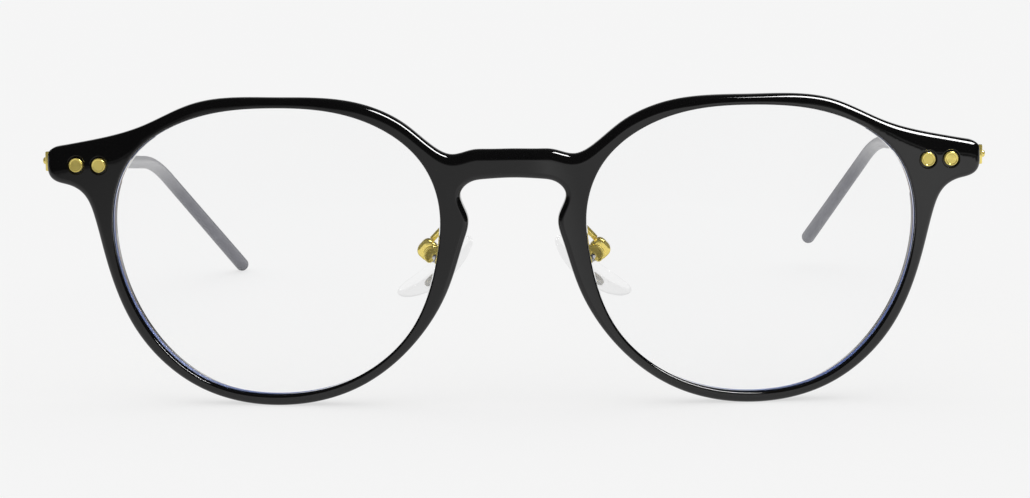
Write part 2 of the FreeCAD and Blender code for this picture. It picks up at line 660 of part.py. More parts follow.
def make_pad_box():
    """The gold box: a chamfered block with a slot for the pad's lug."""
    block = Part.makeBox(BOX_BACK + BOX_FRONT, BOX_DEPTH, BOX_LENGTH,
                         Vector(-BOX_FRONT, -BOX_DEPTH / 2, -BOX_LENGTH / 2))
    outer = [e for e in block.Edges if all(v.X > TOUCH for v in e.Vertexes)]
    block = block.makeChamfer(BOX_CHAMFER, outer)
    slot = centred_box(2 * BOX_SLOT_REACH, LUG_THICKNESS + 2 * BOX_RUNNING_GAP, 2 * BOX_LENGTH,
                       Vector(0, 0, 0))
    bore = Part.makeCylinder(PAD_PIN_RADIUS, 2 * BOX_DEPTH, Vector(0, -BOX_DEPTH, 0), Vector(0, 1, 0))
    return placed(block.cut(slot).cut(bore), box_frame())


def make_pad_screw():
    """The small screw through the box and the lug."""
    shank = PAD_PIN_RADIUS - FIT_CLEARANCE
    screw = turned_piece([
        (0, -BOX_DEPTH / 2 - FIT_CLEARANCE), (shank, -BOX_DEPTH / 2 - FIT_CLEARANCE),
        (shank, BOX_DEPTH / 2), (PAD_PIN_RADIUS + 2 * FIT_CLEARANCE, BOX_DEPTH / 2),
        (PAD_PIN_RADIUS, BOX_DEPTH / 2 + FOOT_HEAD_HEIGHT), (0, BOX_DEPTH / 2 + FOOT_HEAD_HEIGHT),
    ])
    return placed(screw, box_frame())


def make_pad_core():
    """The stiff lug: an eye on the screw, a stem, and a small plate inside the pad."""
    eye = Part.makeCylinder(LUG_RADIUS, LUG_THICKNESS, Vector(0, -LUG_THICKNESS / 2, 0), Vector(0, 1, 0))
    stem = Part.makeBox(PAD_STAND_OFF, LUG_THICKNESS, LUG_WIDTH,
                        Vector(-PAD_STAND_OFF, -LUG_THICKNESS / 2, -LUG_WIDTH / 2))
    plate = centred_box(CORE_PLATE_THICKNESS, CORE_PLATE_WIDTH, CORE_PLATE_LENGTH, Vector(0, 0, 0))
    ends = [e for e in plate.Edges if abs(e.Vertexes[0].X - e.Vertexes[-1].X) > TOUCH]
    plate = plate.makeFillet(CORE_PLATE_WIDTH / 2 - TOUCH, ends)
    plate = placed(plate, pad_face_frame())
    bore = Part.makeCylinder(PAD_PIN_RADIUS, 2 * LUG_THICKNESS, Vector(0, -LUG_THICKNESS, 0), Vector(0, 1, 0))
    return placed(eye.fuse([stem, plate]).cut(bore), pad_frame())


def pad_face_frame():
    """The frame at the pad's middle, with x away from the nose along its face's normal."""
    return turned(Vector(0, 0, 1), -PAD_SPLAY, Vector(-PAD_STAND_OFF, 0, -PAD_SLIDE))


def make_nose_pad(core):
    """The clear pad: an oval with a crowned face and a hollow back."""
    half = PAD_THICKNESS / 2
    oval = Part.Ellipse(Vector(0, 0, 0), PAD_LENGTH / 2, PAD_WIDTH / 2).toShape()
    disc = Part.Face(Part.Wire([oval]))
    disc = placed(disc, FreeCAD.Placement(Vector(-PAD_LENGTH / 2, 0, 0), FreeCAD.Rotation(Vector(0, 1, 0), 90)))
    block = disc.extrude(Vector(PAD_LENGTH, 0, 0))
    face_ball = Part.makeSphere(PAD_FACE_RADIUS, Vector(PAD_FACE_RADIUS - half, 0, 0))
    back_ball = Part.makeSphere(PAD_BACK_RADIUS, Vector(PAD_BACK_RADIUS + half, 0, 0))
    pad = block.common(face_ball).cut(back_ball)
    rims = [e for e in pad.Edges if e.isClosed()]
    pad = pad.makeFillet(PAD_EDGE_RADIUS, rims)
    pad = placed(placed(pad, pad_face_frame()), pad_frame())
    return pad.cut(core)


def make_pad_arm(front_blank):
    """The gold wire from its foot on the rim's back to the pad's box."""
    foot = front_frame(FOOT_X)
    seat = foot.multVec(Vector(0, FRONT_THICKNESS, 0))
    box_middle = box_frame().multVec(Vector((BOX_SLOT_REACH + BOX_BACK) / 2, WIRE_SEAT_BACK, WIRE_SEAT_UP))
    start = Vector(seat.x, seat.y, FOOT_WIRE_Z)
    across = Vector(box_middle.x - start.x, 0, box_middle.z - start.z)
    reach = across.Length
    across.normalize()
    back = Vector(0, 1, 0)
    turn_y = box_middle.y - WIRE_BEND_RADIUS
    turn_start = Vector(start.x, turn_y, start.z)
    turn_end = Vector(start.x, box_middle.y, start.z) + across * WIRE_BEND_RADIUS
    half_turn = WIRE_BEND_RADIUS * (1 - math.cos(math.pi / 4))
    turn_middle = Vector(start.x, box_middle.y - half_turn, start.z) + across * half_turn
    finish = Vector(start.x, box_middle.y, start.z) + across * reach
    route = Part.Wire([
        Part.makeLine(start, turn_start),
        Part.Arc(turn_start, turn_middle, turn_end).toShape(),
        Part.makeLine(turn_end, finish),
    ])
    profile = Part.Wire([Part.makeCircle(WIRE_RADIUS, start, back)])
    wire = route.makePipeShell([profile], True, False)
    plate = foot_plate()
    arm = plate.fuse(wire).cut(foot_bore()).cut(front_blank)
    return arm.cut(make_pad_box())


def foot_plate():
    """The oval foot of the pad arm, lying on the rim's back."""
    middle = (FOOT_WIRE_Z + FOOT_SCREW_Z) / 2
    straight = FOOT_SCREW_Z - FOOT_WIRE_Z
    plate = centred_box(FOOT_WIDTH, FOOT_THICKNESS, straight + FOOT_WIDTH,
                        Vector(0, FRONT_THICKNESS + FOOT_THICKNESS / 2, middle))
    ends = [e for e in plate.Edges if abs(e.Vertexes[0].Y - e.Vertexes[-1].Y) > TOUCH]
    return placed(plate.makeFillet(FOOT_WIDTH / 2 - TOUCH, ends), front_frame(FOOT_X))


def foot_bore():
    """The bore of the foot's screw through the foot and into the rim."""
    depth = FOOT_SCREW_DEPTH + FIT_CLEARANCE
    start = Vector(0, FRONT_THICKNESS - depth, FOOT_SCREW_Z)
    bore = Part.makeCylinder(FOOT_SCREW_RADIUS + FIT_CLEARANCE, depth + OVERRUN, start, Vector(0, 1, 0))
    return placed(bore, front_frame(FOOT_X))


def make_foot_screw():
    """The slotted screw that holds the pad arm's foot."""
    seat = FRONT_THICKNESS + FOOT_THICKNESS
    screw = turned_piece([
        (0, FRONT_THICKNESS - FOOT_SCREW_DEPTH), (FOOT_SCREW_RADIUS, FRONT_THICKNESS - FOOT_SCREW_DEPTH),
        (FOOT_SCREW_RADIUS, seat), (FOOT_HEAD_RADIUS, seat),
        (FOOT_HEAD_RADIUS - RIVET_BEVEL, seat + FOOT_HEAD_HEIGHT), (0, seat + FOOT_HEAD_HEIGHT),
    ])
    slot = centred_box(4 * FOOT_HEAD_RADIUS, 2 * SLOT_DEPTH, SLOT_WIDTH, Vector(0, seat + FOOT_HEAD_HEIGHT, 0))
    rise = FreeCAD.Placement(Vector(0, 0, FOOT_SCREW_Z), FreeCAD.Rotation())
    return placed(screw.cut(slot), front_frame(FOOT_X).multiply(rise))


def make_front(front_blank):
    """The finished front, with its rivet holes and the pad arms' screw holes."""
    tools = rivet_holes() + [foot_bore()]
    tools += [mirrored(tool) for tool in tools]
    return front_blank.cut(tools)


def make_pieces():
    """Every piece of the glasses by its name."""
    blank = make_front_blank()
    pieces = {"front": make_front(blank)}
    core = make_pad_core()
    one_side = {
        "lens": make_lens(),
        "rivets": make_rivets(),
        "end_bracket": make_end_bracket(blank),
        "bracket_rivet": make_bracket_rivet(),
        "hinge_front_leaf": make_front_leaf(),
        "hinge_screw": make_hinge_screw(),
        "pad_arm": make_pad_arm(blank),
        "pad_arm_screw": make_foot_screw(),
        "pad_box": make_pad_box(),
        "pad_screw": make_pad_screw(),
        "pad_core": core,
        "nose_pad": make_nose_pad(core),
    }
    for name, shape in one_side.items():
        pieces[name + "_left"] = shape
        pieces[name + "_right"] = mirrored(shape)
    for side in ("left", "right"):
        temple = {
            "temple_arm": make_temple_arm(side),
            "temple_tip": make_temple_tip(side),
            "hinge_temple_leaf": make_temple_leaf(side),
        }
        for name, shape in temple.items():
            pieces[name + "_" + side] = shape if side == "left" else mirrored(shape)
    return pieces


def main():
    """Moves the origin under the middle of the glasses and writes every piece."""
    os.makedirs("parts", exist_ok=True)
    pieces = make_pieces()
    box = Part.makeCompound(list(pieces.values())).optimalBoundingBox(False)
    shift = Vector(-(box.XMin + box.XMax) / 2, -(box.YMin + box.YMax) / 2, -box.ZMin)
    for name, shape in pieces.items():
        shape.translate(shift)
        shape.exportStep("parts/" + name + ".step")
        print(name, "solids", len(shape.Solids), "valid", shape.isValid(), "volume", round(shape.Volume, 3))
    print("size", round(box.XLength, 2), round(box.YLength, 2), round(box.ZLength, 2))
    print("hinge axis", Vector(HINGE_X, HINGE_Y, HINGE_Z) + shift, "pad axis", PAD_AXIS + shift)
    print("lens centre height", round(shift.z, 3), "front face place", round(shift.y, 3))


main()
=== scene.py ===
# %% [markdown]
# # Round eyeglasses with an acetate front
#
# A pair of round eyeglasses: a polished black acetate front with a keyhole bridge, gold
# rivets and hinges, slim metal temples with dark tips, clear lenses and clear nose pads.
# The construction model gives every piece its place. This lesson loads it as a frame that
# never moves, and makes a finished surface and a material for each piece on it.

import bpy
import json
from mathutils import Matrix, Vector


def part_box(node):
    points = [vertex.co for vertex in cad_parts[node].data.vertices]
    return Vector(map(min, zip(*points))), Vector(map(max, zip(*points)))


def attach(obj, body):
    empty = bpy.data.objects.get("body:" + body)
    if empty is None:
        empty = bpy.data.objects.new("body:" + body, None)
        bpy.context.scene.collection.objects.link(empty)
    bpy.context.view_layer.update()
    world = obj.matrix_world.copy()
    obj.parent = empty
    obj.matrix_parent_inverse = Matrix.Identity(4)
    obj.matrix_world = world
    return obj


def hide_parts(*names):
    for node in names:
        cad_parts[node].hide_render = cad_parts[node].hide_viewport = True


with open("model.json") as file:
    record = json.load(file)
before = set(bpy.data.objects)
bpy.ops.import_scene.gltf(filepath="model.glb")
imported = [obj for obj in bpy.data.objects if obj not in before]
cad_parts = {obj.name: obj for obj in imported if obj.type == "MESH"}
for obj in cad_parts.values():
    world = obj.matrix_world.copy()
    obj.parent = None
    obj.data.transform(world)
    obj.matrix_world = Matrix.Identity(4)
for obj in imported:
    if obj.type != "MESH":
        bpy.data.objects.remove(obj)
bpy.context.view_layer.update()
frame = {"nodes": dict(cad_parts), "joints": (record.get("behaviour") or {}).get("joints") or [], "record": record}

# %% [markdown]
# ## Where things are
#
# The front's outer face and the lens centres give one origin, from which an optician
# would measure too: the middle of the bridge, at the height of the lens centres. Sizes
# are in millimetres, as on a frame maker's drawing, and turned to metres in one place.
# The frame knows the axes of the hinges and the nose pads, so they are read from it.

# %% The origin, the hinges and the pads' axes
import json
import math
import bmesh
import bpy
import numpy as np
from mathutils import Matrix, Vector, geometry

MM = 0.001
FACE_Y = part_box("front")[0].y / MM
CENTRE_Z = (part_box("lens_left")[0].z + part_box("lens_left")[1].z) / 2 / MM
joint_place = {joint["name"]: Vector(joint["pos_m"]) / MM for joint in frame["joints"]}
SIDES = {"left": 1, "right": -1}
slot_of_node = {part["node"]: part["material_slot"] for part in frame["record"]["subparts"]}
bodies = frame["record"]["behaviour"]["bodies"]
body_of_node = {node: body for body, nodes in bodies.items() for node in nodes}


def to_frame(points):
    """Millimetres from the bridge's middle, as metres in the frame."""
    return (np.asarray(points, float) + (0, FACE_Y, CENTRE_Z)) * MM


def from_bridge(place):
    """A place of the frame, in millimetres from the bridge's middle."""
    return place - Vector((0, FACE_Y, CENTRE_Z))


print("front face at", round(FACE_Y, 3), "lens centres at", round(CENTRE_Z, 3))

# %% [markdown]
# ## Camera
#
# The picture is taken with a long lens, half a metre away and a little above the glasses,
# so the rims look almost flat and the temples shorten to two short strokes. A tripod is
# never quite level, so the camera has half a degree of roll.

# %% The camera
IMAGE_WIDTH, IMAGE_HEIGHT = 1030, 498
FOCAL_PIXELS = 3341.5
CAMERA_DISTANCE = 500
CAMERA_RISE, CAMERA_TURN, CAMERA_ROLL = (math.radians(a) for a in (7.9, -0.5, 0.496))
AIM_RISE = 0.68
MIDDLE_PIXEL = (513.4, 248.7)
NEAREST, FARTHEST = 0.01, 20

ahead = Vector((
    math.sin(CAMERA_TURN) * math.cos(CAMERA_RISE),
    math.cos(CAMERA_TURN) * math.cos(CAMERA_RISE),
    -math.sin(CAMERA_RISE),
))
level_right = Vector((math.cos(CAMERA_TURN), -math.sin(CAMERA_TURN), 0))
level_up = level_right.cross(ahead)
right = level_right * math.cos(CAMERA_ROLL) - level_up * math.sin(CAMERA_ROLL)
up = right.cross(ahead)
aim = Vector(to_frame((0, 0, AIM_RISE)))


def in_scene(name, data):
    made = bpy.data.objects.new(name, data)
    bpy.context.scene.collection.objects.link(made)
    return made


camera = in_scene("camera", bpy.data.cameras.new("camera"))
bpy.context.scene.camera = camera
turn = Matrix((right, up, -ahead)).transposed().to_4x4()
camera.matrix_world = Matrix.Translation(aim - ahead * CAMERA_DISTANCE * MM) @ turn
shot = camera.data
shot.sensor_fit = "HORIZONTAL"
shot.lens = FOCAL_PIXELS / IMAGE_WIDTH * shot.sensor_width
shot.shift_x = 0.5 - MIDDLE_PIXEL[0] / IMAGE_WIDTH
shot.shift_y = (MIDDLE_PIXEL[1] - IMAGE_HEIGHT / 2) / IMAGE_WIDTH
shot.clip_start, shot.clip_end = NEAREST, FARTHEST
print("lens", round(shot.lens, 1), "mm, shift", round(shot.shift_x, 4))

# %% [markdown]
# ## Writing shaders as sums
#
# Node trees are easier to read as expressions. A small class stands for an output socket,
# so that `marks * 0.1 + 0.3` adds two Math nodes. One method makes any other node: its
# settings first, then the values or links of its sockets. A colour is three numbers and
# gets its alpha there.


# %% Two helpers for node trees
class Wire:
    """An output socket. Sums and products of it add Math nodes."""

    def __init__(self, graph, socket):
        self.graph, self.socket = graph, socket

    def joined(self, operation, first, second):
        return self.graph.add("ShaderNodeMath", {"operation": operation}, {0: first, 1: second})

    def __add__(self, other):
        return self.joined("ADD", self, other)

    def __mul__(self, other):
        return self.joined("MULTIPLY", self, other)

    __radd__, __rmul__ = __add__, __mul__


GENERATED, OBJECT = 0, 3
RAYS = {"camera": 0, "shadow": 1, "diffuse": 2, "glossy": 3, "reflection": 5, "transmission": 6}


class Graph:
    """A node tree that is filled by calls."""

    def __init__(self, tree, coordinates=None):
        self.tree = tree
        tree.nodes.clear()
        if coordinates is not None:
            self.coordinates = self.add("ShaderNodeTexCoord", output=coordinates)

    def add(self, kind, settings=None, inputs=None, output=0):
        node = self.tree.nodes.new(kind)
        for name, value in (settings or {}).items():
            if name == "stops":
                elements = node.color_ramp.elements
                while len(elements) < len(value):
                    elements.new(1)
                for element, (place, level) in zip(elements, value):
                    element.position, element.color = place, (*grey(level), 1)
            else:
                setattr(node, name, value)
        for name, value in (inputs or {}).items():
            socket = node.inputs[name]
            if isinstance(value, Wire):
                self.tree.links.new(value.socket, socket)
            else:
                socket.default_value = (*value, 1) if socket.type == "RGBA" else value
        return Wire(self, node.outputs[output]) if node.outputs else None

    def mixed(self, factor, first, second, blend="MIX"):
        settings = {"data_type": "RGBA", "blend_type": blend}
        return self.add("ShaderNodeMix", settings, {0: factor, 6: first, 7: second}, 2)

    def ramp(self, factor, stops):
        """Greys along a ramp: each stop is a place and a level."""
        return self.add("ShaderNodeValToRGB", {"stops": stops}, {0: factor})

    def place(self, axis):
        """The coordinates' X, Y or Z, by number."""
        return self.add("ShaderNodeSeparateXYZ", inputs={0: self.coordinates}, output=axis)

    def speckle(self, scale, detail=2.0):
        inputs = {"Vector": self.coordinates, "Scale": scale, "Detail": detail}
        return self.add("ShaderNodeTexNoise", inputs=inputs)

    def bumped(self, height, distance, strength=1.0):
        inputs = {"Height": height, "Distance": distance, "Strength": strength}
        return self.add("ShaderNodeBump", inputs=inputs)

    def rays(self, *kinds):
        """One for rays of any of these kinds, nought for the others."""
        found, *others = (self.add("ShaderNodeLightPath", output=RAYS[kind]) for kind in kinds)
        for other in others:
            found = found.joined("MAXIMUM", found, other)
        return found

    def surface(self, shader):
        self.add("ShaderNodeOutputMaterial", inputs={"Surface": shader})

    def coat(self, inputs):
        self.surface(self.add("ShaderNodeBsdfPrincipled", inputs=inputs))


def grey(level):
    return (level, level, level)


def material(name):
    """A new material and its graph, on Object coordinates."""
    made = bpy.data.materials.new(name)
    made.use_nodes = True
    return made, Graph(made.node_tree, OBJECT)


print("node helpers ready")

# %% [markdown]
# ## Studio
#
# Product pictures of glasses are taken on a white table under a large soft light, in a
# room that is otherwise dark: the black acetate then mirrors the table in its upright
# faces and the dark ceiling in its rounded top edges, with one bright line where it meets
# a softbox. So the camera, mirrors and glass see a grey horizon and a dark ceiling here,
# and matt surfaces get an even light. The table is matt and partly lit by its own colour,
# so that the background stays even while the shadows stay soft. For mirrored rays only,
# the room and the table are painted brighter on the right than on the left, with a narrow
# painted bright stripe near the middle: painted light that shows in what the glasses
# mirror and lights nothing.

# %% The room and the table
BACKGROUND, SOFT_LIGHT = 0.916, 0.92
HORIZON, CEILING, CEILING_FROM = 0.35, 0.018, 0.08
TABLE_SIZE, TABLE_GREY, TABLE_OWN_SHARE = 8, 0.8, 0.7

world = bpy.data.worlds.new("room")
bpy.context.scene.world = world
world.use_nodes = True
room = Graph(world.node_tree, GENERATED)
WORLD_SPREAD, TABLE_SPREAD = 0.45, 1.25
# Painted light for mirrored rays: near the glasses the table is painted lighter. Across the room and the table the
# levels below run darker on the left and brighter on the right, with a bright stripe near the middle.
PAINTED_NEAR_FROM, PAINTED_NEAR_TO, PAINTED_NEAR_SHARE = -0.22, -0.08, 0.4
PAINTED_MIRROR_TONES = [
    (0.1, 0.12), (0.22, 0.36), (0.28, 0.44), (0.47, 0.58), (0.508, 0.62),
    (0.52, 1.0), (0.535, 0.64), (0.72, 1.0), (0.82, 1.0), (0.9, 0.12),
]
WHITE = (1, 1, 1)


def painted_mirror_tone(graph, across):
    """One, but for mirrored rays a painted light: darker on the left than on the right, with a bright stripe near
    the middle.
    """
    return graph.mixed(graph.rays("reflection"), WHITE, graph.ramp(across, PAINTED_MIRROR_TONES))


picture = room.ramp(room.place(2), [(0.0, HORIZON), (CEILING_FROM, CEILING)])
# Painted light: mirrored rays see the room painted darker on the left and brighter on the right.
painted_side_light = painted_mirror_tone(room, room.place(0) * WORLD_SPREAD + 0.5)
picture = room.mixed(1.0, picture, painted_side_light, "MULTIPLY")
SEEN = ("camera", "glossy", "transmission")
sky = room.mixed(room.rays(*SEEN), grey(SOFT_LIGHT), picture)
room.add("ShaderNodeOutputWorld", inputs={0: room.add("ShaderNodeBackground", inputs={0: sky})})

table_finish, graph = material("table")
# Painted light: in mirrors the table is painted lighter near the glasses and darker on the left.
near = graph.add("ShaderNodeMapRange", inputs={0: graph.place(1), 1: PAINTED_NEAR_FROM, 2: PAINTED_NEAR_TO})
painted_side_light = painted_mirror_tone(graph, graph.place(0) * TABLE_SPREAD + 0.5)
tone = graph.mixed(near * PAINTED_NEAR_SHARE, painted_side_light, WHITE)
reflected, own = (
    graph.mixed(1.0, grey(level), tone, "MULTIPLY")
    for level in (BACKGROUND * (1 - TABLE_OWN_SHARE) / SOFT_LIGHT, BACKGROUND * TABLE_OWN_SHARE)
)
paper_grain = graph.bumped(graph.speckle(900.0), 2e-5, 0.05)
seen = graph.add("ShaderNodeAddShader", inputs={
    0: graph.add("ShaderNodeBsdfDiffuse", inputs={0: reflected, "Normal": paper_grain}),
    1: graph.add("ShaderNodeEmission", inputs={0: own}),
})
lit = graph.add("ShaderNodeBsdfDiffuse", inputs={0: grey(TABLE_GREY)})
graph.surface(graph.add("ShaderNodeMixShader", inputs={0: graph.rays(*SEEN), 1: lit, 2: seen}))

table_mesh = bpy.data.meshes.new("table")
half = TABLE_SIZE / 2
corners = [(-half, -half, 0), (half, -half, 0), (half, half, 0), (-half, half, 0)]
table_mesh.from_pydata(corners, [], [(0, 1, 2, 3)])
table_mesh.materials.append(table_finish)
table = in_scene("table", table_mesh)


def softbox(name, towards, distance, width, depth, power):
    """A rectangular lamp that shows in polished surfaces only, aimed at the glasses."""
    lamp = in_scene(name, bpy.data.lights.new(name, "AREA"))
    lamp.data.shape, lamp.data.size, lamp.data.size_y = "RECTANGLE", width, depth
    lamp.data.energy = power
    lamp.visible_diffuse = False
    direction = Vector(towards).normalized()
    lamp.location = aim + direction * distance
    lamp.rotation_euler = direction.to_track_quat("Z", "Y").to_euler()


softbox("softbox_right", towards=(0.5, -0.1, 0.87), distance=1.2, width=0.48, depth=0.72, power=31)
bpy.context.scene.view_settings.view_transform = "Standard"
print("table, room and softbox ready")

# %% [markdown]
# ## Finishes
#
# Acetate is polished in a drum of wooden pins until it looks wet: near black under a
# clear skin, with a very slight waviness and hair-fine marks. The gold is a plating over
# nickel silver, so it is warm and bright, with fine brushing that softens what it
# mirrors. The tips are smoke-grey acetate. Towards the arm their colour is painted
# lighter: a painted sheen for the pale table that they mirror at a grazing angle.


# %% The acetate
ACETATE_BLACKS = (0.0030, 0.0030, 0.0031), (0.0052, 0.0050, 0.0051)

acetate, graph = material("black_acetate")
graph.coat({
    "Base Color": graph.mixed(graph.speckle(140.0, 3.0), *ACETATE_BLACKS),
    "Roughness": graph.speckle(900.0) * 0.05 + 0.04,
    "IOR": 1.54,
    "Normal": graph.bumped(graph.speckle(160.0), 0.8e-5),
})


# %% The gold plating and the steel
def metal(name, bright, deep, roughness, mark_height, gloss_share):
    """A plated metal: fine brushing in its gloss, slightly deeper colour in patches."""
    made, graph = material(name)
    patches = graph.speckle(500.0)
    graph.coordinates = graph.add("ShaderNodeMapping", inputs={
        "Vector": graph.coordinates, "Scale": (0.25, 0.25, 4.0)})
    brushing = graph.speckle(3000.0)
    graph.coat({
        "Base Color": graph.mixed(patches, bright, deep),
        "Metallic": gloss_share,
        "Roughness": brushing * 0.08 + roughness,
        "Normal": graph.bumped(brushing, mark_height),
    })
    return made


gold = metal("gold_metal", bright=(1.0, 0.86, 0.26), deep=(1.0, 0.77, 0.19),
             roughness=0.04, mark_height=2e-6, gloss_share=0.62)
steel = metal("steel_screw", bright=(0.66, 0.66, 0.67), deep=(0.5, 0.5, 0.52),
              roughness=0.14, mark_height=3e-6, gloss_share=0.9)

# %% The temple tips and the pads' stiff cores
PAINTED_SHEEN_TONE = (0.555, 0.555, 0.57)
SMOKE_TONES = (0.172, 0.172, 0.198), (0.235, 0.235, 0.265)
CORE_TONES = (0.62, 0.61, 0.58), (0.72, 0.71, 0.68)
SMOKE_FROM, SMOKE_FULL = 0.018, 0.042

tip_finish, graph = material("temple_tip")
# Painted sheen: the tip is painted lighter near the arm, where it mirrors the pale table at a grazing angle, and
# turns to its own smoke grey further back.
smoke = graph.add("ShaderNodeMapRange", {"interpolation_type": "SMOOTHSTEP"}, {
    0: graph.place(1), 1: SMOKE_FROM, 2: SMOKE_FULL})
smoky = graph.mixed(graph.speckle(300.0), *SMOKE_TONES)
graph.coat({
    "Base Color": graph.mixed(smoke, PAINTED_SHEEN_TONE, smoky),
    "Roughness": graph.speckle(1500.0) * 0.1 + 0.3,
    "IOR": 1.5,
    "Normal": graph.bumped(graph.speckle(2500.0), 4e-6),
})

core_finish, graph = material("pad_core")
graph.coat({
    "Base Color": graph.mixed(graph.speckle(800.0), *CORE_TONES),
    "Roughness": 0.45,
    "Normal": graph.bumped(graph.speckle(4000.0), 5e-6),
})

# %% [markdown]
# The lenses and the pads are clear. A clear body mirrors a little and lets the rest
# through, and it dims the table under it hardly at all, so shadow rays and the rays that
# light the table pass it freely: a path tracer would otherwise draw its shadow as dark as
# a solid one's. At its ground edge a lens is matt, with a painted reflection in its
# colour: the front half of it is painted blue and the back half brown. These colours stand
# in for the light that the coated edge mirrors and bends.


# %% The clear finishes
def clear(name, tint, roughness, ior, unevenness, scale, alpha):
    made, graph = material(name)
    marks = graph.speckle(scale)
    body = graph.add("ShaderNodeBsdfPrincipled", inputs={
        "Base Color": graph.mixed(marks, tint, [0.98 * t for t in tint]),
        "Roughness": roughness,
        "IOR": ior,
        "Transmission Weight": 1.0,
        "Alpha": alpha,
        "Normal": graph.bumped(marks, unevenness),
    })
    passing = graph.add("ShaderNodeBsdfTransparent", inputs={0: grey(0.96)})
    through = graph.rays("shadow", "diffuse")
    graph.surface(graph.add("ShaderNodeMixShader", inputs={0: through, 1: body, 2: passing}))
    return made


lens_finish = clear("clear_lens", tint=(0.997, 0.999, 1.0), roughness=0.0, ior=1.14,
                    unevenness=1e-7, scale=40.0, alpha=1.0)
pad_finish = clear("clear_pad", tint=(0.985, 0.985, 0.98), roughness=0.05, ior=1.2,
                   unevenness=2e-6, scale=600.0, alpha=0.1)


def painted_edge_finish(name, first, second):
    made, graph = material(name)
    graph.coat({
        "Base Color": graph.mixed(graph.speckle(90.0), first, second),
        "Roughness": 0.58,
        "Normal": graph.bumped(graph.speckle(5000.0), 1e-6),
    })
    return made


# Painted reflection: blue on the front half of the ground edge, brown on the back half.
edge_finish = painted_edge_finish("lens_edge_painted_blue", (0.05, 0.12, 0.46), (0.18, 0.24, 0.42))
back_edge_finish = painted_edge_finish("lens_back_edge_painted_brown", (0.30, 0.22, 0.14), (0.42, 0.36, 0.31))
print("finishes", len(bpy.data.materials))

# %% [markdown]
# ## Front
#
# A frame maker cuts the front from a sheet of acetate with a small milling cutter, rounds
# its edges in the polishing drum, bends it over a warm form and cuts a fine groove for
# the lenses. The outline and the lens shape are closed curves through a few measured
# places. Along each of them a stack of loops makes the rounded edge or the groove, and
# the two flat faces between the loops are filled with an even net of triangles. So every
# loop lies where the edge needs it, and the reflections run clean. The drum takes more
# off what sticks out: along the top the edge is rounded wider, and over the end pieces
# the brow leans back a little.

# %% Sizes of the front and the lenses
LENS_WIDTH, LENS_HEIGHT = 50, 43.5
BRIDGE_GAP, BRIDGE_RISE, BRIDGE_DEPTH = 22, 15.4, 4.1
RIM_FACE, FRONT_THICKNESS, FRONT_CURVE = 1.55, 4, 330
FRONT_ROUNDING, BACK_ROUNDING, LENS_SIDE_ROUNDING = 0.8, 0.5, 0.3
END_REACH, END_HEIGHT, FITTING_HEIGHT = 10.1, 5.2, 13
GROOVE_HEIGHT, GROOVE_HALF_WIDTH, GROOVE_DEPTH = 0.55, 0.6, 0.575 * FRONT_THICKNESS
LENS_CLEARANCE = 0.06
OUTLINE_PLACES, OPENING_PLACES, LENS_PLACES, FINE_STEPS = 1280, 480, 320, 80

lens_outline_shares = [
    (0.0, 1.0), (-0.474, 0.938), (-0.903, 0.595), (-0.990, 0.304),
    (-0.977, 0.0), (-0.814, -0.537), (-0.449, -0.888), (0.0, -1.0),
    (0.453, -0.897), (0.804, -0.530), (0.988, 0.0), (0.996, 0.305),
    (0.910, 0.600), (0.472, 0.934),
]
brow_shares = [(-0.28, -0.006), (-0.198, -0.02), (-0.068, -0.126), (0.04, 0.079), (0.2, 0.586)]
rim_top = [(1, 1.40), (0, 0.93), (13, 1.34)]
end_piece_shares = [
    (-0.46, 1.12), (0.13, 0.765), (0.5, 0.615), (0.80, 0.505), (0.884, 0.470),
    (0.949, 0.404), (0.978, 0.316), (0.985, 0.154), (0.985, -0.15), (0.968, -0.285),
    (0.922, -0.415), (0.845, -0.508), (0.66, -0.602), (0.46, -0.818), (0.28, -1.52),
]
rim_bottom = [(10, 1.19), (9, 1.10), (8, 0.95), (7, 1.02), (6, 1.03), (5, 1.19)]
nose_shares = [
    (0.89, -0.478), (0.663, 0.195), (0.615, 0.451), (0.714, 0.80), (0.58, 0.942), (0.386, 0.982),
]

lens_tilt = math.asin((BRIDGE_GAP + LENS_WIDTH) / 2 / FRONT_CURVE)
lens_centre_x = BRIDGE_GAP / 2 + LENS_WIDTH / 2 * math.cos(lens_tilt)
lens_outer_x = 2 * lens_centre_x - BRIDGE_GAP / 2
print("lens centres", round(lens_centre_x, 2), "mm from the middle")


# %% Closed curves through measured places
def even_loop(places, count):
    """Evenly spaced places on a smooth closed curve, and the outward direction at each."""
    knots = np.array(places, float)
    gaps = np.linalg.norm(np.roll(knots, -1, 0) - knots, axis=1)
    size = len(knots)
    system = np.zeros((size, size))
    for i in range(size):
        system[i, i - 1] += gaps[i - 1]
        system[i, i] += 2 * (gaps[i - 1] + gaps[i])
        system[i, (i + 1) % size] += gaps[i]
    chords = (np.roll(knots, -1, 0) - knots) / gaps[:, None]
    bend = np.linalg.solve(system, 6 * (chords - np.roll(chords, 1, 0)))
    share = np.linspace(0, 1, FINE_STEPS, endpoint=False)[:, None]
    fine = []
    for i in range(size):
        j = (i + 1) % size
        cubic = ((1 - share) ** 3 - (1 - share)) * bend[i] + (share ** 3 - share) * bend[j]
        fine.append((1 - share) * knots[i] + share * knots[j] + gaps[i] ** 2 / 6 * cubic)
    fine = np.concatenate(fine + [knots[:1]])
    along = np.concatenate([[0], np.cumsum(np.linalg.norm(np.diff(fine, axis=0), axis=1))])
    even = np.linspace(0, along[-1], count, endpoint=False)
    loop = np.stack([np.interp(even, along, fine[:, k]) for k in (0, 1)], 1)
    return loop, outward_directions(loop)


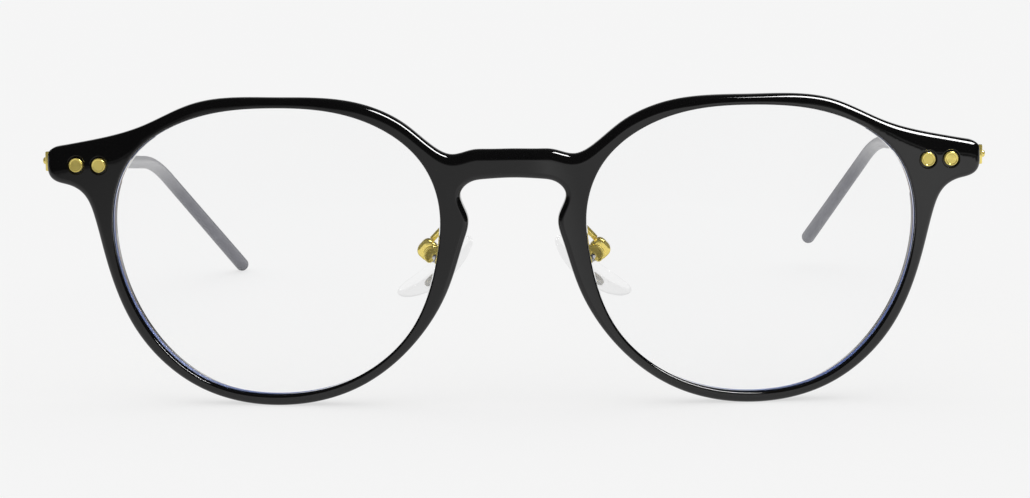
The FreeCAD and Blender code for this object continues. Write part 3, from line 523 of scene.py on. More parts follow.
def outward_directions(loop):
    ahead = np.roll(loop, -1, 0) - np.roll(loop, 1, 0)
    ahead /= np.linalg.norm(ahead, axis=1)[:, None]
    turning = np.sum(loop[:, 0] * np.roll(loop[:, 1], -1) - loop[:, 1] * np.roll(loop[:, 0], -1))
    return np.stack([ahead[:, 1], -ahead[:, 0]], 1) * np.sign(turning)


def grown(across, up, grow):
    """A place of the lens shape in millimetres, moved outwards."""
    place = np.array([across * LENS_WIDTH / 2, up * LENS_HEIGHT / 2])
    return place * (1 + grow / np.linalg.norm(place))


def rim_place(number, share):
    """The rim's outer edge beside one of the lens outline's places."""
    x, z = grown(*lens_outline_shares[number], share * RIM_FACE)
    return lens_centre_x + x * math.cos(lens_tilt), z


bridge_under = BRIDGE_RISE - BRIDGE_DEPTH
brow_rise = LENS_HEIGHT / 2 - BRIDGE_RISE
half_outline = [
    *((BRIDGE_GAP / 2 + a * LENS_WIDTH / 2, BRIDGE_RISE + u * brow_rise) for a, u in brow_shares),
    *(rim_place(*place) for place in rim_top),
    *((lens_outer_x + a * END_REACH, FITTING_HEIGHT + u * END_HEIGHT) for a, u in end_piece_shares),
    *(rim_place(*place) for place in rim_bottom),
    *((a * BRIDGE_GAP / 2, u * bridge_under) for a, u in nose_shares),
]
mirror_half = [(-x, z) for x, z in reversed(half_outline)]
outline, outline_out = even_loop(
    [(0, BRIDGE_RISE), *half_outline, (0, bridge_under), *mirror_half], OUTLINE_PLACES)
print("outline", len(outline), "places")


# %% Loops round the edge, the lens openings and the rivet holes
def front_y(x):
    return FRONT_CURVE - np.sqrt(FRONT_CURVE ** 2 - np.square(x))


def back_y(x):
    return FRONT_CURVE - np.sqrt((FRONT_CURVE - FRONT_THICKNESS) ** 2 - np.square(x))


def eased(value, start, end):
    """Nought before the start, one after the end, and a smooth step between."""
    share = np.clip((value - start) / (end - start), 0, 1)
    return share ** 2 * (3 - 2 * share)


LEAN_WIDTHS = {
    1: [(46, 1.3), (50.4, 1.4), (55.7, 1.6), (60, 2.3), (63.7, 2.9), (68, 2.3)],
    -1: [(46, 1.5), (52.5, 1.8), (55.6, 2.2), (57.1, 3.2), (59.7, 4.0), (68, 3.9)],
}
LEAN_RUN, LEAN_SLOPE, LEAN_DEPTH, LEAN_ZONE = 0.7, 0.16, 2.4, (46, 52)
BROW_FACING = 0.3


def polished_back(places):
    """The brow over the end pieces, leaned back a little by the polishing drum."""
    x, y, z = places.T
    reach = np.abs(x)
    half = outline[(outline[:, 0] > 0) & (outline_out[:, 1] > BROW_FACING)]
    half = half[np.argsort(half[:, 0])]
    top = np.interp(reach, half[:, 0], half[:, 1])
    widths = [np.interp(reach, *zip(*LEAN_WIDTHS[side])) for side in (1, -1)]
    rise = np.clip(z - top + np.where(x > 0, *widths), 0, None)
    lean = np.where(rise < LEAN_RUN, rise ** 2 / LEAN_RUN / 2, rise - LEAN_RUN / 2) * LEAN_SLOPE
    skin = np.clip(1 - (y - front_y(x)) / LEAN_DEPTH, 0, 1)
    return np.stack([x, y + lean * eased(reach, *LEAN_ZONE) * skin, z], 1)


FLAT_RUN = 1.06
EDGE_STEPS, BACK_STEPS, OPENING_STEPS, OPENING_BACK_STEPS = 10, 6, 8, 5


def quarter(steps):
    """How far in from the edge and how deep a rounded edge is, as shares of its radius."""
    angles = np.linspace(0, math.pi / 2, steps)
    return [(FLAT_RUN, 0)] + [(1 - math.sin(a), 1 - math.cos(a)) for a in angles]


TOP_ROUNDING, BRIDGE_ROUNDING, CORNER_ROUNDING = 0.42, 0.3, -0.25
TOP_FACING, TOP_HEIGHTS, BRIDGE_ZONE, CORNER_ZONE = (0.15, 0.7), (10, 13), (-13, -8), (66, 69)
WIDEST_SHARE = 0.85


def edge_loops():
    """The outer edge, from the front face round to the back face, wider along the top."""
    loops = []
    x, z = outline.T
    top = eased(outline_out[:, 1], *TOP_FACING) * eased(z, *TOP_HEIGHTS)
    more = TOP_ROUNDING + BRIDGE_ROUNDING * eased(-np.abs(x), *BRIDGE_ZONE)
    wide = FRONT_ROUNDING + top * (more + CORNER_ROUNDING * eased(np.abs(x), *CORNER_ZONE))
    half = np.stack([np.abs(x), z], 1)
    to_opening = np.linalg.norm(half[:, None] - opening_loops()[0][:, (0, 2)], axis=2).min(1)
    wide = np.minimum(wide, WIDEST_SHARE * to_opening)
    for inset, depth in quarter(EDGE_STEPS):
        x, z = (outline - outline_out * (inset * wide)[:, None]).T
        loops.append(np.stack([x, front_y(x) + depth * FRONT_ROUNDING, z], 1))
    for inset, depth in reversed(quarter(BACK_STEPS)):
        x, z = (outline - outline_out * inset * BACK_ROUNDING).T
        loops.append(np.stack([x, back_y(x) - depth * BACK_ROUNDING, z], 1))
    return loops


def on_front(across, depth, up, centre_x):
    """A place in the plane that touches the front's curve at centre_x, as seen from the bridge."""
    slope = np.arcsin(centre_x / FRONT_CURVE)
    x = centre_x + across * np.cos(slope) - depth * np.sin(slope)
    y = front_y(centre_x) + across * np.sin(slope) + depth * np.cos(slope)
    return np.stack([x, y, up + 0 * x], 1)


def opening_loops():
    """One lens opening: a rounded front edge, the groove and a rounded back edge."""
    places = [grown(*share, LENS_CLEARANCE) for share in lens_outline_shares]
    shape, out = even_loop(places, OPENING_PLACES)
    loops = []

    def ring(grow, surface, deeper):
        u, w = (shape + grow).T
        loops.append(on_front(u, surface(u) + deeper, w, lens_centre_x))

    for inset, depth in quarter(OPENING_STEPS):
        ring(out * inset * LENS_SIDE_ROUNDING, front_y, depth * LENS_SIDE_ROUNDING)
    for grow, step in ((0, -GROOVE_HALF_WIDTH), (GROOVE_HEIGHT, 0), (0, GROOVE_HALF_WIDTH)):
        ring(out * grow, np.zeros_like, GROOVE_DEPTH + step)
    for inset, depth in reversed(quarter(OPENING_BACK_STEPS)):
        ring(out * inset * LENS_SIDE_ROUNDING, back_y, -depth * LENS_SIDE_ROUNDING)
    return loops


RIVET_SPACING, RIVET_MIDDLE, RIVET_RADIUS = 3.6, 64.4, 0.7
RECESS_RADIUS, RECESS_DEPTH, BORE_RADIUS = 1.32, 0.4, RIVET_RADIUS + 0.05
ROUND_SIDES = 56
rivet_places = [-RIVET_SPACING / 2, RIVET_SPACING / 2]


def circle_angles(sides):
    return np.linspace(0, 2 * math.pi, sides, endpoint=False)


def rivet_loops(step):
    """One rivet's hole: a soft dish in the face, the round recess and the bore."""
    angles = circle_angles(ROUND_SIDES)
    dish = [(1.5, 0), (1.46, 0), (1.43, 0.008), (1.39, 0.03), (1.36, 0.07), (1.34, 0.13)]
    recess = [(RECESS_RADIUS, 0.22), (RECESS_RADIUS, RECESS_DEPTH), (BORE_RADIUS, RECESS_DEPTH)]
    loops = []
    for radius, depth in dish + recess + [(BORE_RADIUS, None)]:
        u = step + radius * np.cos(angles)
        y = back_y(u) if depth is None else front_y(u) + depth
        loops.append(on_front(u, y, FITTING_HEIGHT + radius * np.sin(angles), RIVET_MIDDLE))
    return loops


stacks = [edge_loops(), opening_loops()] + [rivet_loops(step) for step in rivet_places]
stacks += [[loop * (-1, 1, 1) for loop in stack] for stack in stacks[1:]]
print("stacks of loops", len(stacks))


# %% Fill the two faces and join the front
def inside(places, loop):
    """Which places lie inside a closed loop."""
    x, z = places[:, :1], places[:, 1:]
    a, b = loop, np.roll(loop, -1, 0)
    crosses = (a[:, 1] > z) != (b[:, 1] > z)
    rise = np.where(b[:, 1] == a[:, 1], 1, b[:, 1] - a[:, 1])
    return (crosses & (x < a[:, 0] + (z - a[:, 1]) * (b[:, 0] - a[:, 0]) / rise)).sum(1) % 2 == 1


NET_SPACING, NET_MARGIN = 0.42, 0.26


def fill_between(loops, surface):
    """Even triangles between flat loops: the new places, and triangles of loop and new places."""
    rims = [loop[:, (0, 2)] for loop in loops]
    outer, holes = rims[0], rims[1:]
    low, high = outer.min(0), outer.max(0)
    rows = np.arange(low[1], high[1], NET_SPACING * math.sqrt(3) / 2)
    columns = np.arange(low[0], high[0], NET_SPACING)
    seeds = np.array([(x + (i % 2) * NET_SPACING / 2, z) for i, z in enumerate(rows) for x in columns])
    seeds = seeds[inside(seeds, outer) & ~np.any([inside(seeds, hole) for hole in holes], 0)]
    edge_places = np.concatenate(rims)
    nearest = np.array([np.min(np.sum((edge_places - s) ** 2, 1)) for s in seeds])
    seeds = seeds[nearest > NET_MARGIN ** 2]
    flat = np.concatenate([edge_places, seeds])
    fixed, start = [], 0
    for rim in rims:
        fixed += [(start + i, start + (i + 1) % len(rim)) for i in range(len(rim))]
        start += len(rim)
    result = geometry.delaunay_2d_cdt([Vector(p) for p in flat], fixed, [], 0, 1e-7)
    origin = [ids[0] for ids in result[3]]
    triangles = np.array([[origin[v] for v in face] for face in result[2]])
    middles = flat[triangles].mean(1)
    kept = inside(middles, outer) & ~np.any([inside(middles, hole) for hole in holes], 0)
    return np.stack([seeds[:, 0], surface(seeds[:, 0]), seeds[:, 1]], 1), triangles[kept]


MERGE_DISTANCE = 2e-6


def mesh_piece(name, places, faces, finishes, smooth_angle=40, finish_numbers=None):
    """An object from places in metres, with its faces outwards and smoothly shaded."""
    mesh = bpy.data.meshes.new(name)
    mesh.from_pydata([tuple(p) for p in places], [], [tuple(f) for f in faces])
    if finish_numbers:
        mesh.polygons.foreach_set("material_index", finish_numbers)
    work = bmesh.new()
    work.from_mesh(mesh)
    bmesh.ops.remove_doubles(work, verts=work.verts, dist=MERGE_DISTANCE)
    bmesh.ops.recalc_face_normals(work, faces=work.faces)
    open_edges = sum(not e.is_manifold for e in work.edges)
    work.to_mesh(mesh)
    work.free()
    mesh.shade_smooth()
    mesh.set_sharp_from_angle(angle=math.radians(smooth_angle))
    for finish in finishes:
        mesh.materials.append(finish)
    print(name, "faces", len(mesh.polygons), "open edges", open_edges)
    return in_scene(name, mesh)


def stands_for(piece, *nodes):
    """The piece takes the place of these nodes of the frame and moves with them."""
    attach(piece, body_of_node[nodes[0]])
    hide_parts(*nodes)


def bridge_quads(first, second, count):
    """Quads between two loops that start at the given places."""
    return [(first + i, first + (i + 1) % count, second + (i + 1) % count, second + i) for i in range(count)]


places, faces, starts = [], [], []
for stack in stacks:
    count = len(stack[0])
    starts.append((len(places), len(places) + count * (len(stack) - 1), count))
    for i, loop in enumerate(stack):
        places.extend(loop)
        if i:
            faces += bridge_quads(len(places) - 2 * count, len(places) - count, count)
for end, surface in ((0, front_y), (1, back_y)):
    seeds, triangles = fill_between([stack[-end] for stack in stacks], surface)
    numbers = np.concatenate([
        *[np.arange(start[end], start[end] + start[2]) for start in starts],
        len(places) + np.arange(len(seeds)),
    ])
    places.extend(seeds)
    faces += [tuple(int(n) for n in numbers[triangle]) for triangle in triangles]
front = mesh_piece("acetate_front", to_frame(polished_back(np.array(places))), faces, [acetate], 50)
stands_for(front, "front")

# %% [markdown]
# ## Lenses
#
# A demo lens is cut from a domed sheet two millimetres thick. Its edge is ground to a low
# ridge that snaps into the groove, and the ground edge stays matt. It is painted blue and
# brown, a painted reflection of the coated edge, and makes the thin line inside the rims.
# Both domes are rings of the same outline, drawn in towards the middle.


# %% Two lenses
def sag(radius, distance):
    return radius - np.sqrt(radius ** 2 - np.square(distance))


def capped(loops):
    """Places and faces of a closed skin over a stack of loops, with a fan at either end."""
    count = len(loops[0])
    places = np.concatenate(loops + [loops[0].mean(0)[None], loops[-1].mean(0)[None]])
    faces = []
    for i in range(len(loops) - 1):
        faces += bridge_quads(i * count, (i + 1) * count, count)
    first, last = len(places) - 2, len(places) - 1
    start = count * (len(loops) - 1)
    for i in range(count):
        j = (i + 1) % count
        faces += [(first, j, i), (last, start + i, start + j)]
    return places, faces


LENS_CURVE, LENS_THICKNESS, LENS_CHAMFER = 130, 2, 0.1
lens_vertex = GROOVE_DEPTH - sag(LENS_CURVE, (LENS_WIDTH + LENS_HEIGHT) / 4) - LENS_THICKNESS / 2
lens_shape, lens_out = even_loop([grown(*share, 0) for share in lens_outline_shares], LENS_PLACES)


def lens_loop(share=1.0, inset=0.0, depth=None, back=False, deeper=0.0):
    """One ring of a lens, on its front or its back dome unless a depth is given."""
    u, w = ((lens_shape - lens_out * inset) * share).T
    if depth is None:
        bend = LENS_CURVE - LENS_THICKNESS if back else LENS_CURVE
        depth = lens_vertex + sag(bend, np.hypot(u, w)) + (LENS_THICKNESS if back else 0) + deeper
    return on_front(u, depth + 0 * u, w, lens_centre_x)


ring_shares = [0.03, 0.1, 0.2, 0.3, 0.4, 0.5, 0.6, 0.7, 0.8, 0.88, 0.94, 0.98]
front_dome = [lens_loop(share) for share in ring_shares] + [lens_loop(inset=LENS_CHAMFER)]
ground = [
    lens_loop(deeper=LENS_CHAMFER), lens_loop(depth=GROOVE_DEPTH - GROOVE_HALF_WIDTH),
    lens_loop(inset=-GROOVE_HEIGHT, depth=GROOVE_DEPTH),
    lens_loop(depth=GROOVE_DEPTH + GROOVE_HALF_WIDTH), lens_loop(back=True, deeper=-LENS_CHAMFER),
]
back_dome = [lens_loop(inset=LENS_CHAMFER, back=True)]
back_dome += [lens_loop(share, back=True) for share in reversed(ring_shares)]
lens_places, lens_faces = capped(front_dome + ground + back_dome)
finish_of_band = [0] * len(front_dome) + [1] * (len(ground) - 2) + [2] + [0] * (len(back_dome) + 2)
finish_numbers = [finish_of_band[i // LENS_PLACES] for i in range(len(lens_faces))]
for side, sign in SIDES.items():
    lens = mesh_piece("lens_" + side + "_clear", to_frame(lens_places * (sign, 1, 1)), lens_faces,
                      [lens_finish, edge_finish, back_edge_finish], 30, finish_numbers)
    stands_for(lens, "lens_" + side)

# %% [markdown]
# ## Rivets
#
# Each end piece carries two rivets. A rivet is turned on a lathe, pushed through the
# acetate and the gold angle behind it, and its tail is hammered over. Its head keeps the
# lathe's fine rings inside a raised, polished border. The heads repeat, so one turned
# piece is made and a small tree of nodes sets it on its places, each with its own axis:
# the outer one on the wearer's right was hammered a little askew. The boss outside each
# angle is set the same way.


# %% A tree that sets a turned piece on its places
def empty_tree(name, sockets):
    """A geometry tree with named inputs: its graph, and the inputs as wires."""
    tree = bpy.data.node_groups.new(name, "GeometryNodeTree")
    for label, kind in sockets:
        tree.interface.new_socket(label, in_out="INPUT", socket_type="NodeSocket" + kind)
    tree.interface.new_socket("Geometry", in_out="OUTPUT", socket_type="NodeSocketGeometry")
    graph = Graph(tree)
    node = tree.nodes.new("NodeGroupInput")
    return graph, [Wire(graph, node.outputs[i]) for i in range(len(sockets))]


def end_tree(graph, shape, finish):
    """The tree's last steps: real faces, smooth, with their finish."""
    real = graph.add("GeometryNodeRealizeInstances", inputs={0: shape})
    smooth = graph.add("GeometryNodeSetShadeSmooth", inputs={0: real})
    finished = graph.add("GeometryNodeSetMaterial", inputs={0: smooth, 2: finish})
    graph.add("NodeGroupOutput", inputs={0: finished})


SHARP_ANGLE = math.radians(35)


def by_rule(name, places, edges, value_name, kind, values, tree, inputs):
    """The plain mesh that a tree makes of bare places, each of which brings a value of its own."""
    mesh = bpy.data.meshes.new(name + "_places")
    mesh.from_pydata([tuple(p) for p in to_frame(places)], edges, [])
    attribute = mesh.attributes.new(value_name, kind, "POINT")
    numbers = np.array(values, np.float32).ravel()
    attribute.data.foreach_set("vector" if kind == "FLOAT_VECTOR" else "value", numbers)
    base = in_scene(name + "_places", mesh)
    modifier = base.modifiers.new("rule", "NODES")
    modifier.node_group = tree
    for item in tree.interface.items_tree:
        if item.in_out == "INPUT" and item.name in inputs:
            modifier[item.identifier] = inputs[item.name]
    evaluated = base.evaluated_get(bpy.context.evaluated_depsgraph_get())
    mesh = bpy.data.meshes.new_from_object(evaluated)
    mesh.set_sharp_from_angle(angle=SHARP_ANGLE)
    base.modifiers.remove(modifier)
    bpy.data.objects.remove(base)
    print(name, "faces", len(mesh.polygons))
    return in_scene(name, mesh)


setting, (geometry_in, part_in, size_in, finish_in) = empty_tree(
    "set_on_places", [("Places", "Geometry"), ("Part", "Object"), ("Size", "Float"), ("Finish", "Material")])
axis = setting.add("GeometryNodeInputNamedAttribute", {"data_type": "FLOAT_VECTOR"}, {0: "axis"})
along_axis = setting.add("FunctionNodeAlignRotationToVector", {"axis": "Z"}, {2: axis})
part = setting.add("GeometryNodeObjectInfo", inputs={0: part_in}, output=4)
end_tree(setting, setting.add("GeometryNodeInstanceOnPoints", inputs={
    0: geometry_in, 2: part, 5: along_axis, 6: size_in}), finish_in)


def set_turned(name, profile, places, axes):
    """Copies of a lathe's work, given by radius and height, its Z axis along each place's axis."""
    angles = circle_angles(ROUND_SIDES)
    circle = np.stack([np.cos(angles), np.sin(angles)], 1)
    loops = [np.column_stack([circle * r, np.full(ROUND_SIDES, h)]) for r, h in profile]
    turned_places, faces = capped(loops)
    part = mesh_piece(name + "_turned", turned_places * MM, faces, [gold])
    made = by_rule(name, places, [], "axis", "FLOAT_VECTOR", axes, setting.tree,
                   {"Part": part, "Size": 1.0, "Finish": gold})
    bpy.data.objects.remove(part)
    return made


# %% Rivets and bosses
GRIP = FRONT_THICKNESS + 1
RING_PITCH, RING_HEIGHT, RING_STEPS = 0.27, 0.006, 8
ring_angles = [2 * math.pi * i / RING_STEPS for i in range(1, 3 * RING_STEPS)]
lathe_rings = [(a / 2 / math.pi * RING_PITCH, -0.125 - RING_HEIGHT * math.sin(a)) for a in ring_angles]
rivet_profile = lathe_rings + [
    (0.83, -0.14), (0.87, -0.175), (0.91, -0.195), (0.96, -0.2), (1.0, -0.19), (1.035, -0.16),
    (1.06, -0.11), (1.07, 0), (1.07, RECESS_DEPTH), (RIVET_RADIUS, RECESS_DEPTH), (RIVET_RADIUS, GRIP),
    (0.9, GRIP), (0.95, GRIP + 0.05), (0.94, GRIP + 0.14), (0.86, GRIP + 0.27), (0.7, GRIP + 0.36),
    (0.45, GRIP + 0.4), (0.1, GRIP + 0.4),
]
rivet_middle_slope = math.asin(RIVET_MIDDLE / FRONT_CURVE)
RIVET_LEANS = {"left": (-0.02, 0.0), "right": (0.0, -0.13)}
places, axes = [], []
for side, sign in SIDES.items():
    for step, lean in zip(rivet_places, RIVET_LEANS[side]):
        place = on_front(np.array([step]), np.zeros(1), FITTING_HEIGHT, RIVET_MIDDLE)[0]
        places.append(place * (sign, 1, 1))
        axes.append((-sign * math.sin(rivet_middle_slope), math.cos(rivet_middle_slope), lean))
rivets = set_turned("gold_rivets", rivet_profile, places, axes)
stands_for(rivets, "rivets_left", "rivets_right")

BOSS_RADIUS, BOSS_RISE, LEG_THINNED = 0.58, 0.75, 0.42
boss_profile = [
    (0.08, -BOSS_RISE), (0.22, -0.735), (0.36, -0.68), (0.47, -0.59), (0.55, -0.45), (BOSS_RADIUS, -0.3),
    (BOSS_RADIUS, 0), (0.53, 0), (0.53, 1.8), (1.0, 1.8), (1.05, 1.83), (1.0, 1.9), (0.8, 1.97), (0.1, 2.0),
]
boss_low, boss_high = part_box("bracket_rivet_left")
boss = from_bridge((boss_low + boss_high) / 2 / MM)
boss.x = from_bridge(boss_high / MM).x - BOSS_RISE - LEG_THINNED
places = [(sign * boss.x, boss.y, boss.z) for sign in SIDES.values()]
bosses = set_turned("gold_bosses", boss_profile, places, [(-sign, 0, 0) for sign in SIDES.values()])
stands_for(bosses, "bracket_rivet_left", "bracket_rivet_right")

# %% [markdown]
# ## Temples
#
# The arm is a strip of plated metal, pressed to a slight bow, with rounded edges and a
# height that falls towards the ear. A slim tip is pushed over its end. The optician warms
# each tip and bends it down behind the ear, and no two are bent alike. The tip follows a
# path, so a tree sweeps a circle along it: every place of the path brings its own radius.

# %% The temples' path
KNUCKLE_REACH, ARM_THICKNESS = 1.52, 1
ARM_LENGTH, ARM_BOW = 54, 530
ARM_HEIGHT, ARM_END_HEIGHT = 2.7, 1.9
SLEEVE_LEAD, BEND_RADIUS, TIP_LENGTH = 26.6, 38, 54.5
TEMPLE_DROP = {"left": 4.6, "right": 6.63}
TEMPLE_INWARD = {"left": 1.4, "right": 0.7}
TIP_DROP = {"left": 21.7, "right": 21.6}
TIP_INWARD = {"left": 8.2, "right": 12.4}
COLLAR_RADIUS, COLLAR_LENGTH = 0.95, 2.5
TIP_RADIUS, TIP_END_RADIUS, TIP_ROUNDING, TIP_SIDES = 1.1, 1.25, 1.15, 40
hinge = from_bridge(joint_place["temple_hinge_left"])


def turned(axis, degrees, base=(0, 0, 0)):
    return Matrix.Translation(base) @ Matrix.Rotation(math.radians(degrees), 4, axis)


def moved(places, place, sign):
    """Places of a piece's own frame, moved to the wearer's left or mirrored to the right."""
    turn = np.array(place)
    return (np.asarray(places) @ turn[:3, :3].T + turn[:3, 3]) * (sign, 1, 1)


def temple_place(side):
    base = hinge + Vector((KNUCKLE_REACH + ARM_THICKNESS / 2, 0, 0))
    return turned("Z", TEMPLE_INWARD[side], base) @ turned("X", -TEMPLE_DROP[side])


def tip_path(side):
    """The tip's middle line and its radius at each place, in the temple's frame."""
    bow = ARM_LENGTH / ARM_BOW
    ahead = Vector((-math.sin(bow), math.cos(bow), 0))
    arm_end = Vector((-ARM_BOW * (1 - math.cos(bow)), ARM_BOW * math.sin(bow), 0))
    drop, inward = math.radians(TIP_DROP[side]), math.radians(TIP_INWARD[side])
    down = Vector((-math.sin(inward) * math.cos(drop), math.cos(inward) * math.cos(drop), -math.sin(drop)))
    bend = ahead.angle(down)
    run = BEND_RADIUS * math.tan(bend / 2)
    corner = arm_end + ahead * SLEEVE_LEAD
    start, finish = corner - ahead * run, corner + down * run
    to_centre = (down - ahead * ahead.dot(down)).normalized()
    steps = [(0, COLLAR_RADIUS - 0.15), (0.04, COLLAR_RADIUS - 0.06), (0.15, COLLAR_RADIUS),
             (COLLAR_LENGTH, TIP_RADIUS)]
    lead = (start - arm_end).length
    steps += [(d, TIP_RADIUS) for d in np.linspace(COLLAR_LENGTH, lead, 6)[1:-1]]
    path = [(arm_end + ahead * d, radius) for d, radius in steps]
    for angle in np.linspace(0, bend, 28):
        offset = to_centre * (1 - math.cos(angle)) + ahead * math.sin(angle)
        path.append((start + offset * BEND_RADIUS, TIP_RADIUS))
    length = TIP_LENGTH - run
    for d in np.linspace(0, length - TIP_ROUNDING, 10)[1:]:
        path.append((finish + down * d, TIP_RADIUS + (TIP_END_RADIUS - TIP_RADIUS) * d / length))
    for angle in np.linspace(0, math.pi / 2, 9)[1:]:
        d = length - TIP_ROUNDING * (1 - math.sin(angle))
        path.append((finish + down * d, TIP_END_RADIUS - TIP_ROUNDING * (1 - math.cos(angle))))
    return path


# %% Tips, swept along their paths
sweeping, (path_in, sides_in, finish_in) = empty_tree(
    "swept_rod", [("Path", "Geometry"), ("Sides", "Int"), ("Finish", "Material")])
curve = sweeping.add("GeometryNodeMeshToCurve", inputs={0: path_in})
radius = sweeping.add("GeometryNodeInputNamedAttribute", {"data_type": "FLOAT"}, {0: "radius"})
circle = sweeping.add("GeometryNodeCurvePrimitiveCircle", inputs={0: sides_in, 4: 1.0})
rod = sweeping.add("GeometryNodeCurveToMesh", inputs={0: curve, 1: circle, 2: radius, 3: True})
end_tree(sweeping, rod, finish_in)

for side, sign in SIDES.items():
    places, radii = zip(*tip_path(side))
    places = moved([tuple(place) for place in places], temple_place(side), sign)
    edges = [(i, i + 1) for i in range(len(places) - 1)]
    radii = np.array(radii, np.float32) * MM
    tip = by_rule("tip_" + side, places, edges, "radius", "FLOAT", radii, sweeping.tree,
                  {"Sides": TIP_SIDES, "Finish": tip_finish})
    stands_for(tip, "temple_tip_" + side)


# %% Arms
def rounded_plate(low, high, half, low_rounding, high_rounding, steps):
    """A closed outline with rounded corners, from low to high, and as far up as down."""
    corners = [(high, half, high_rounding), (low, half, low_rounding),
               (low, -half, low_rounding), (high, -half, high_rounding)]
    outline = []
    for i, (x, z, rounding) in enumerate(corners):
        here = np.array([x, z], float)
        before = np.array(corners[i - 1][:2]) - here
        after = np.array(corners[(i + 1) % len(corners)][:2]) - here
        before, after = before / np.linalg.norm(before), after / np.linalg.norm(after)
        for t in np.linspace(0, math.pi / 2, steps):
            inset = before * rounding * (1 - math.sin(t)) + after * rounding * (1 - math.cos(t))
            outline.append(here + inset)
    return np.array(outline)


BUTT_GAP, BUTT_BREAK, ARM_EDGE_ROUNDING, ARM_RINGS = 0.12, 0.08, 0.32, 40


def arm_loop(along, shrink=0.0):
    """The strip's section at a place along the arm, in the temple's frame."""
    share = min(along / ARM_LENGTH, 1)
    tall = (ARM_HEIGHT + (ARM_END_HEIGHT - ARM_HEIGHT) * share) / 2 - shrink
    wide = ARM_THICKNESS / 2 - shrink
    rounding = ARM_EDGE_ROUNDING - shrink / 2
    section = rounded_plate(-wide, wide, tall, rounding, rounding, 6)
    angle = along / ARM_BOW
    reach = ARM_BOW + section[:, 0]
    return np.stack([reach * math.cos(angle) - ARM_BOW, reach * math.sin(angle), section[:, 1]], 1)


for side, sign in SIDES.items():
    loops = [arm_loop(-0.5, BUTT_BREAK), arm_loop(-0.45)]
    loops += [arm_loop(d) for d in np.linspace(0.5, ARM_LENGTH, ARM_RINGS)]
    loops += [arm_loop(ARM_LENGTH + 0.4, 0.2)]
    places, faces = capped(loops)
    places = moved(places, temple_place(side), sign)
    past_end = np.arange(len(places)) >= len(loops[0])
    places[:, 1] = np.maximum(places[:, 1], hinge.y + BUTT_GAP / 2 + past_end * BUTT_BREAK)
    arm = mesh_piece("arm_" + side, to_frame(places), faces, [gold])
    stands_for(arm, "temple_arm_" + side)

# %% [markdown]
# ## Nose pads and their boxes
#
# A pad is soft clear silicone, moulded round a stiff lug. The lug sits in a small gold
# box, cast with two cheeks, and rocks on a screw through them. The box's cheeks are
# dished inside a bright border. All of it is turned 43 degrees to lie along the side of
# the nose.

# %% Pads
PAD_BOX_TURN, PAD_PLAY, PAD_SPLAY = 43, 10, 12
PAD_HALF_LENGTH, PAD_HALF_WIDTH, PAD_HALF_THICKNESS = 7.1, 3.8, 0.9
PAD_FACE_CURVE, PAD_BACK_CURVE, PAD_ROUNDING = 14, 22, 0.45
PAD_STAND_OFF, PAD_SLIDE, PAD_PLACES = 2.6, 0.9, 96
pad_axis = from_bridge(joint_place["pad_rock_left"])
pad_place = turned("Y", -PAD_BOX_TURN - PAD_PLAY, pad_axis)
pad_place = pad_place @ turned("Z", -PAD_SPLAY, (-PAD_STAND_OFF, 0, -PAD_SLIDE))
angles = circle_angles(PAD_PLACES)
oval = np.stack([PAD_HALF_WIDTH * np.cos(angles), PAD_HALF_LENGTH * np.sin(angles)], 1)
oval_out = outward_directions(oval)


def pad_loop(curve, half, share=1.0, inset=0.0, depth=0.0):
    """A ring on one of the pad's two round faces."""
    y, z = ((oval - oval_out * inset) * share).T
    return np.stack([half + sag(curve, np.hypot(y, z)) + depth, y, z], 1)


face, back = (PAD_FACE_CURVE, -PAD_HALF_THICKNESS), (PAD_BACK_CURVE, PAD_HALF_THICKNESS)
shares = [0.04, 0.15, 0.3, 0.45, 0.6, 0.75, 0.9]
loops = [pad_loop(*face, share, PAD_ROUNDING) for share in shares]
loops += [pad_loop(*face, 1, e * PAD_ROUNDING, d * PAD_ROUNDING) for e, d in quarter(6)]
loops += [pad_loop(*back, 1, e * PAD_ROUNDING, -d * PAD_ROUNDING) for e, d in reversed(quarter(6))]
loops += [pad_loop(*back, share, PAD_ROUNDING) for share in reversed(shares)]
pad_places, pad_faces = capped(loops)
for side, sign in SIDES.items():
    places = to_frame(moved(pad_places, pad_place, sign))
    pad = mesh_piece("pad_" + side, places, pad_faces, [pad_finish])
    stands_for(pad, "nose_pad_" + side)

# %% Boxes
BOX_FRONT, BOX_BACK, BOX_HALF_LENGTH, BOX_HALF_DEPTH = 0.2, 2.9, 1.5, 1.6
SLOT_HALF_WIDTH, CHEEK_END, CHEEK_SLOPE, CORE_START = 0.65, 1.9, 0.22, 0.7
CHEEK_WIDTH = BOX_HALF_DEPTH - SLOT_HALF_WIDTH
box_place = turned("Y", -PAD_BOX_TURN, pad_axis)
cheek = rounded_plate(-BOX_FRONT, CHEEK_END, BOX_HALF_LENGTH - 0.1, 0.55, 1.35, 9)
core = rounded_plate(CORE_START, BOX_BACK, BOX_HALF_LENGTH, 0.3, 1.15, 9)


def slab(outline, steps, sloped=False):
    """A closed body over an outline: each step is an inset and a place along the box's depth."""
    out = outward_directions(outline)
    loops = []
    for inset, depth in steps:
        x, z = (outline - out * inset).T
        outer_side = sloped and abs(depth) > SLOT_HALF_WIDTH + 0.3
        slope = CHEEK_SLOPE * (x - CHEEK_END) if outer_side else 0 * x
        loops.append(np.stack([x, depth + math.copysign(1, depth) * slope, z], 1))
    return capped(loops)


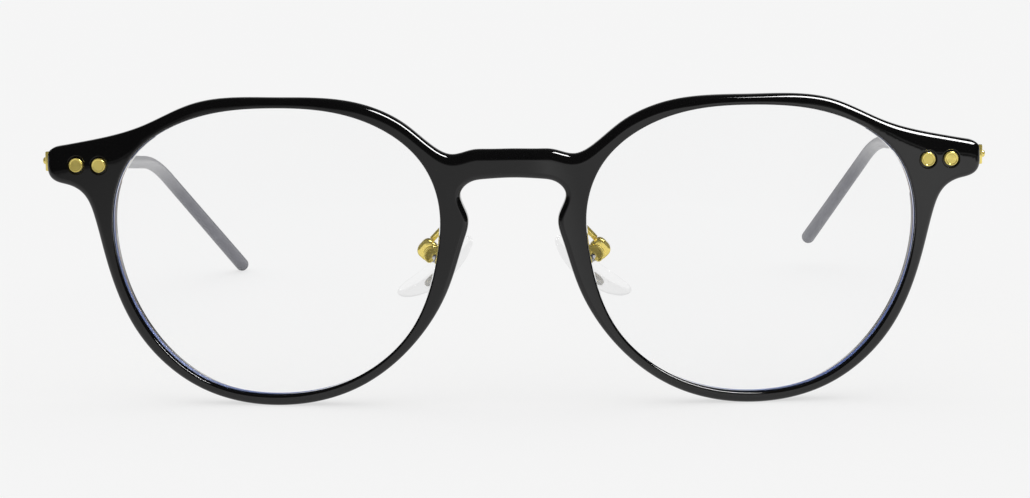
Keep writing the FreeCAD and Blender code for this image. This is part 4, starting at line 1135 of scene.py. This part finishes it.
cheek_steps = [
    (0.5, 0.16), (0.42, 0.14), (0.36, 0.04), (0.3, 0.01), (0.2, 0), (0.1, 0.03), (0.03, 0.1),
    (0, 0.22), (0, CHEEK_WIDTH - 0.05), (0.05, CHEEK_WIDTH),
]
core_steps = [(0.4, -1.12), (0.28, -1.1), (0.12, -1.02), (0.03, -0.9), (0, -0.75),
              (0, 1.2), (0.05, 1.4), (0.15, 1.55), (0.35, BOX_HALF_DEPTH)]
slabs = [slab(cheek, [(inset, sign * (BOX_HALF_DEPTH - depth)) for inset, depth in cheek_steps], True)
         for sign in (-1, 1)]
box_places, box_faces = [], []
for places, faces in slabs + [slab(core, core_steps)]:
    box_faces += [tuple(v + len(box_places) for v in face) for face in faces]
    box_places += list(places)
for side, sign in SIDES.items():
    places = to_frame(moved(box_places, box_place, sign))
    box = mesh_piece("pad_box_" + side + "_cast", places, box_faces, [gold], 30)
    stands_for(box, "pad_box_" + side)

# %% [markdown]
# ## The small metal pieces
#
# The angles, the hinge leaves, the pad arms and the screws have their right shape in the
# construction model. A real one has no knife edges: after plating every corner is broken
# by a fine polish and catches a line of light. So each is copied, its facets are joined
# to whole faces, and its edges are rounded.

# %% Edges broken by polishing
finish_of_slot = {"gold_metal": gold, "steel_screw": steel, "pad_core": core_finish}
EDGE_BREAK = {
    "end_bracket": 0.12, "hinge_front_leaf": 0.08, "hinge_temple_leaf": 0.08, "hinge_screw": 0.05,
    "pad_arm": 0.06, "pad_arm_screw": 0.05, "pad_screw": 0.05, "pad_core": 0.1,
}
LEG_SHEET = 0.9 * MM
SAME_FACE = math.radians(0.5)


def thinned(work):
    """The angle's leg, pressed thinner from outside than the sheet it was cut from."""
    outer = max(abs(v.co.x) for v in work.verts)
    for v in work.verts:
        share = min(max((abs(v.co.x) - outer + LEG_SHEET) / LEG_SHEET, 0), 1)
        v.co.x -= math.copysign(share * LEG_THINNED * MM, v.co.x)


def polished(node_name, width):
    """A copy of one of the frame's pieces with its sharp edges rounded."""
    work = bmesh.new()
    work.from_mesh(frame["nodes"][node_name].data)
    if node_name.startswith("end_bracket"):
        thinned(work)
    bmesh.ops.remove_doubles(work, verts=work.verts, dist=MERGE_DISTANCE)
    bmesh.ops.dissolve_limit(work, angle_limit=SAME_FACE, verts=work.verts, edges=work.edges)
    sharp = [e for e in work.edges if e.is_manifold and e.calc_face_angle(0) > SHARP_ANGLE]
    bmesh.ops.bevel(work, geom=sharp, offset=width * MM, segments=2, profile=0.5,
                    affect="EDGES", clamp_overlap=False)
    places = [tuple(v.co) for v in work.verts]
    faces = [tuple(v.index for v in face.verts) for face in work.faces]
    work.free()
    return places, faces


for kind, width in EDGE_BREAK.items():
    for side in SIDES:
        node_name = kind + "_" + side
        finish = finish_of_slot[slot_of_node[node_name]]
        piece = mesh_piece(node_name + "_polished", *polished(node_name, width), [finish], 35)
        stands_for(piece, node_name)
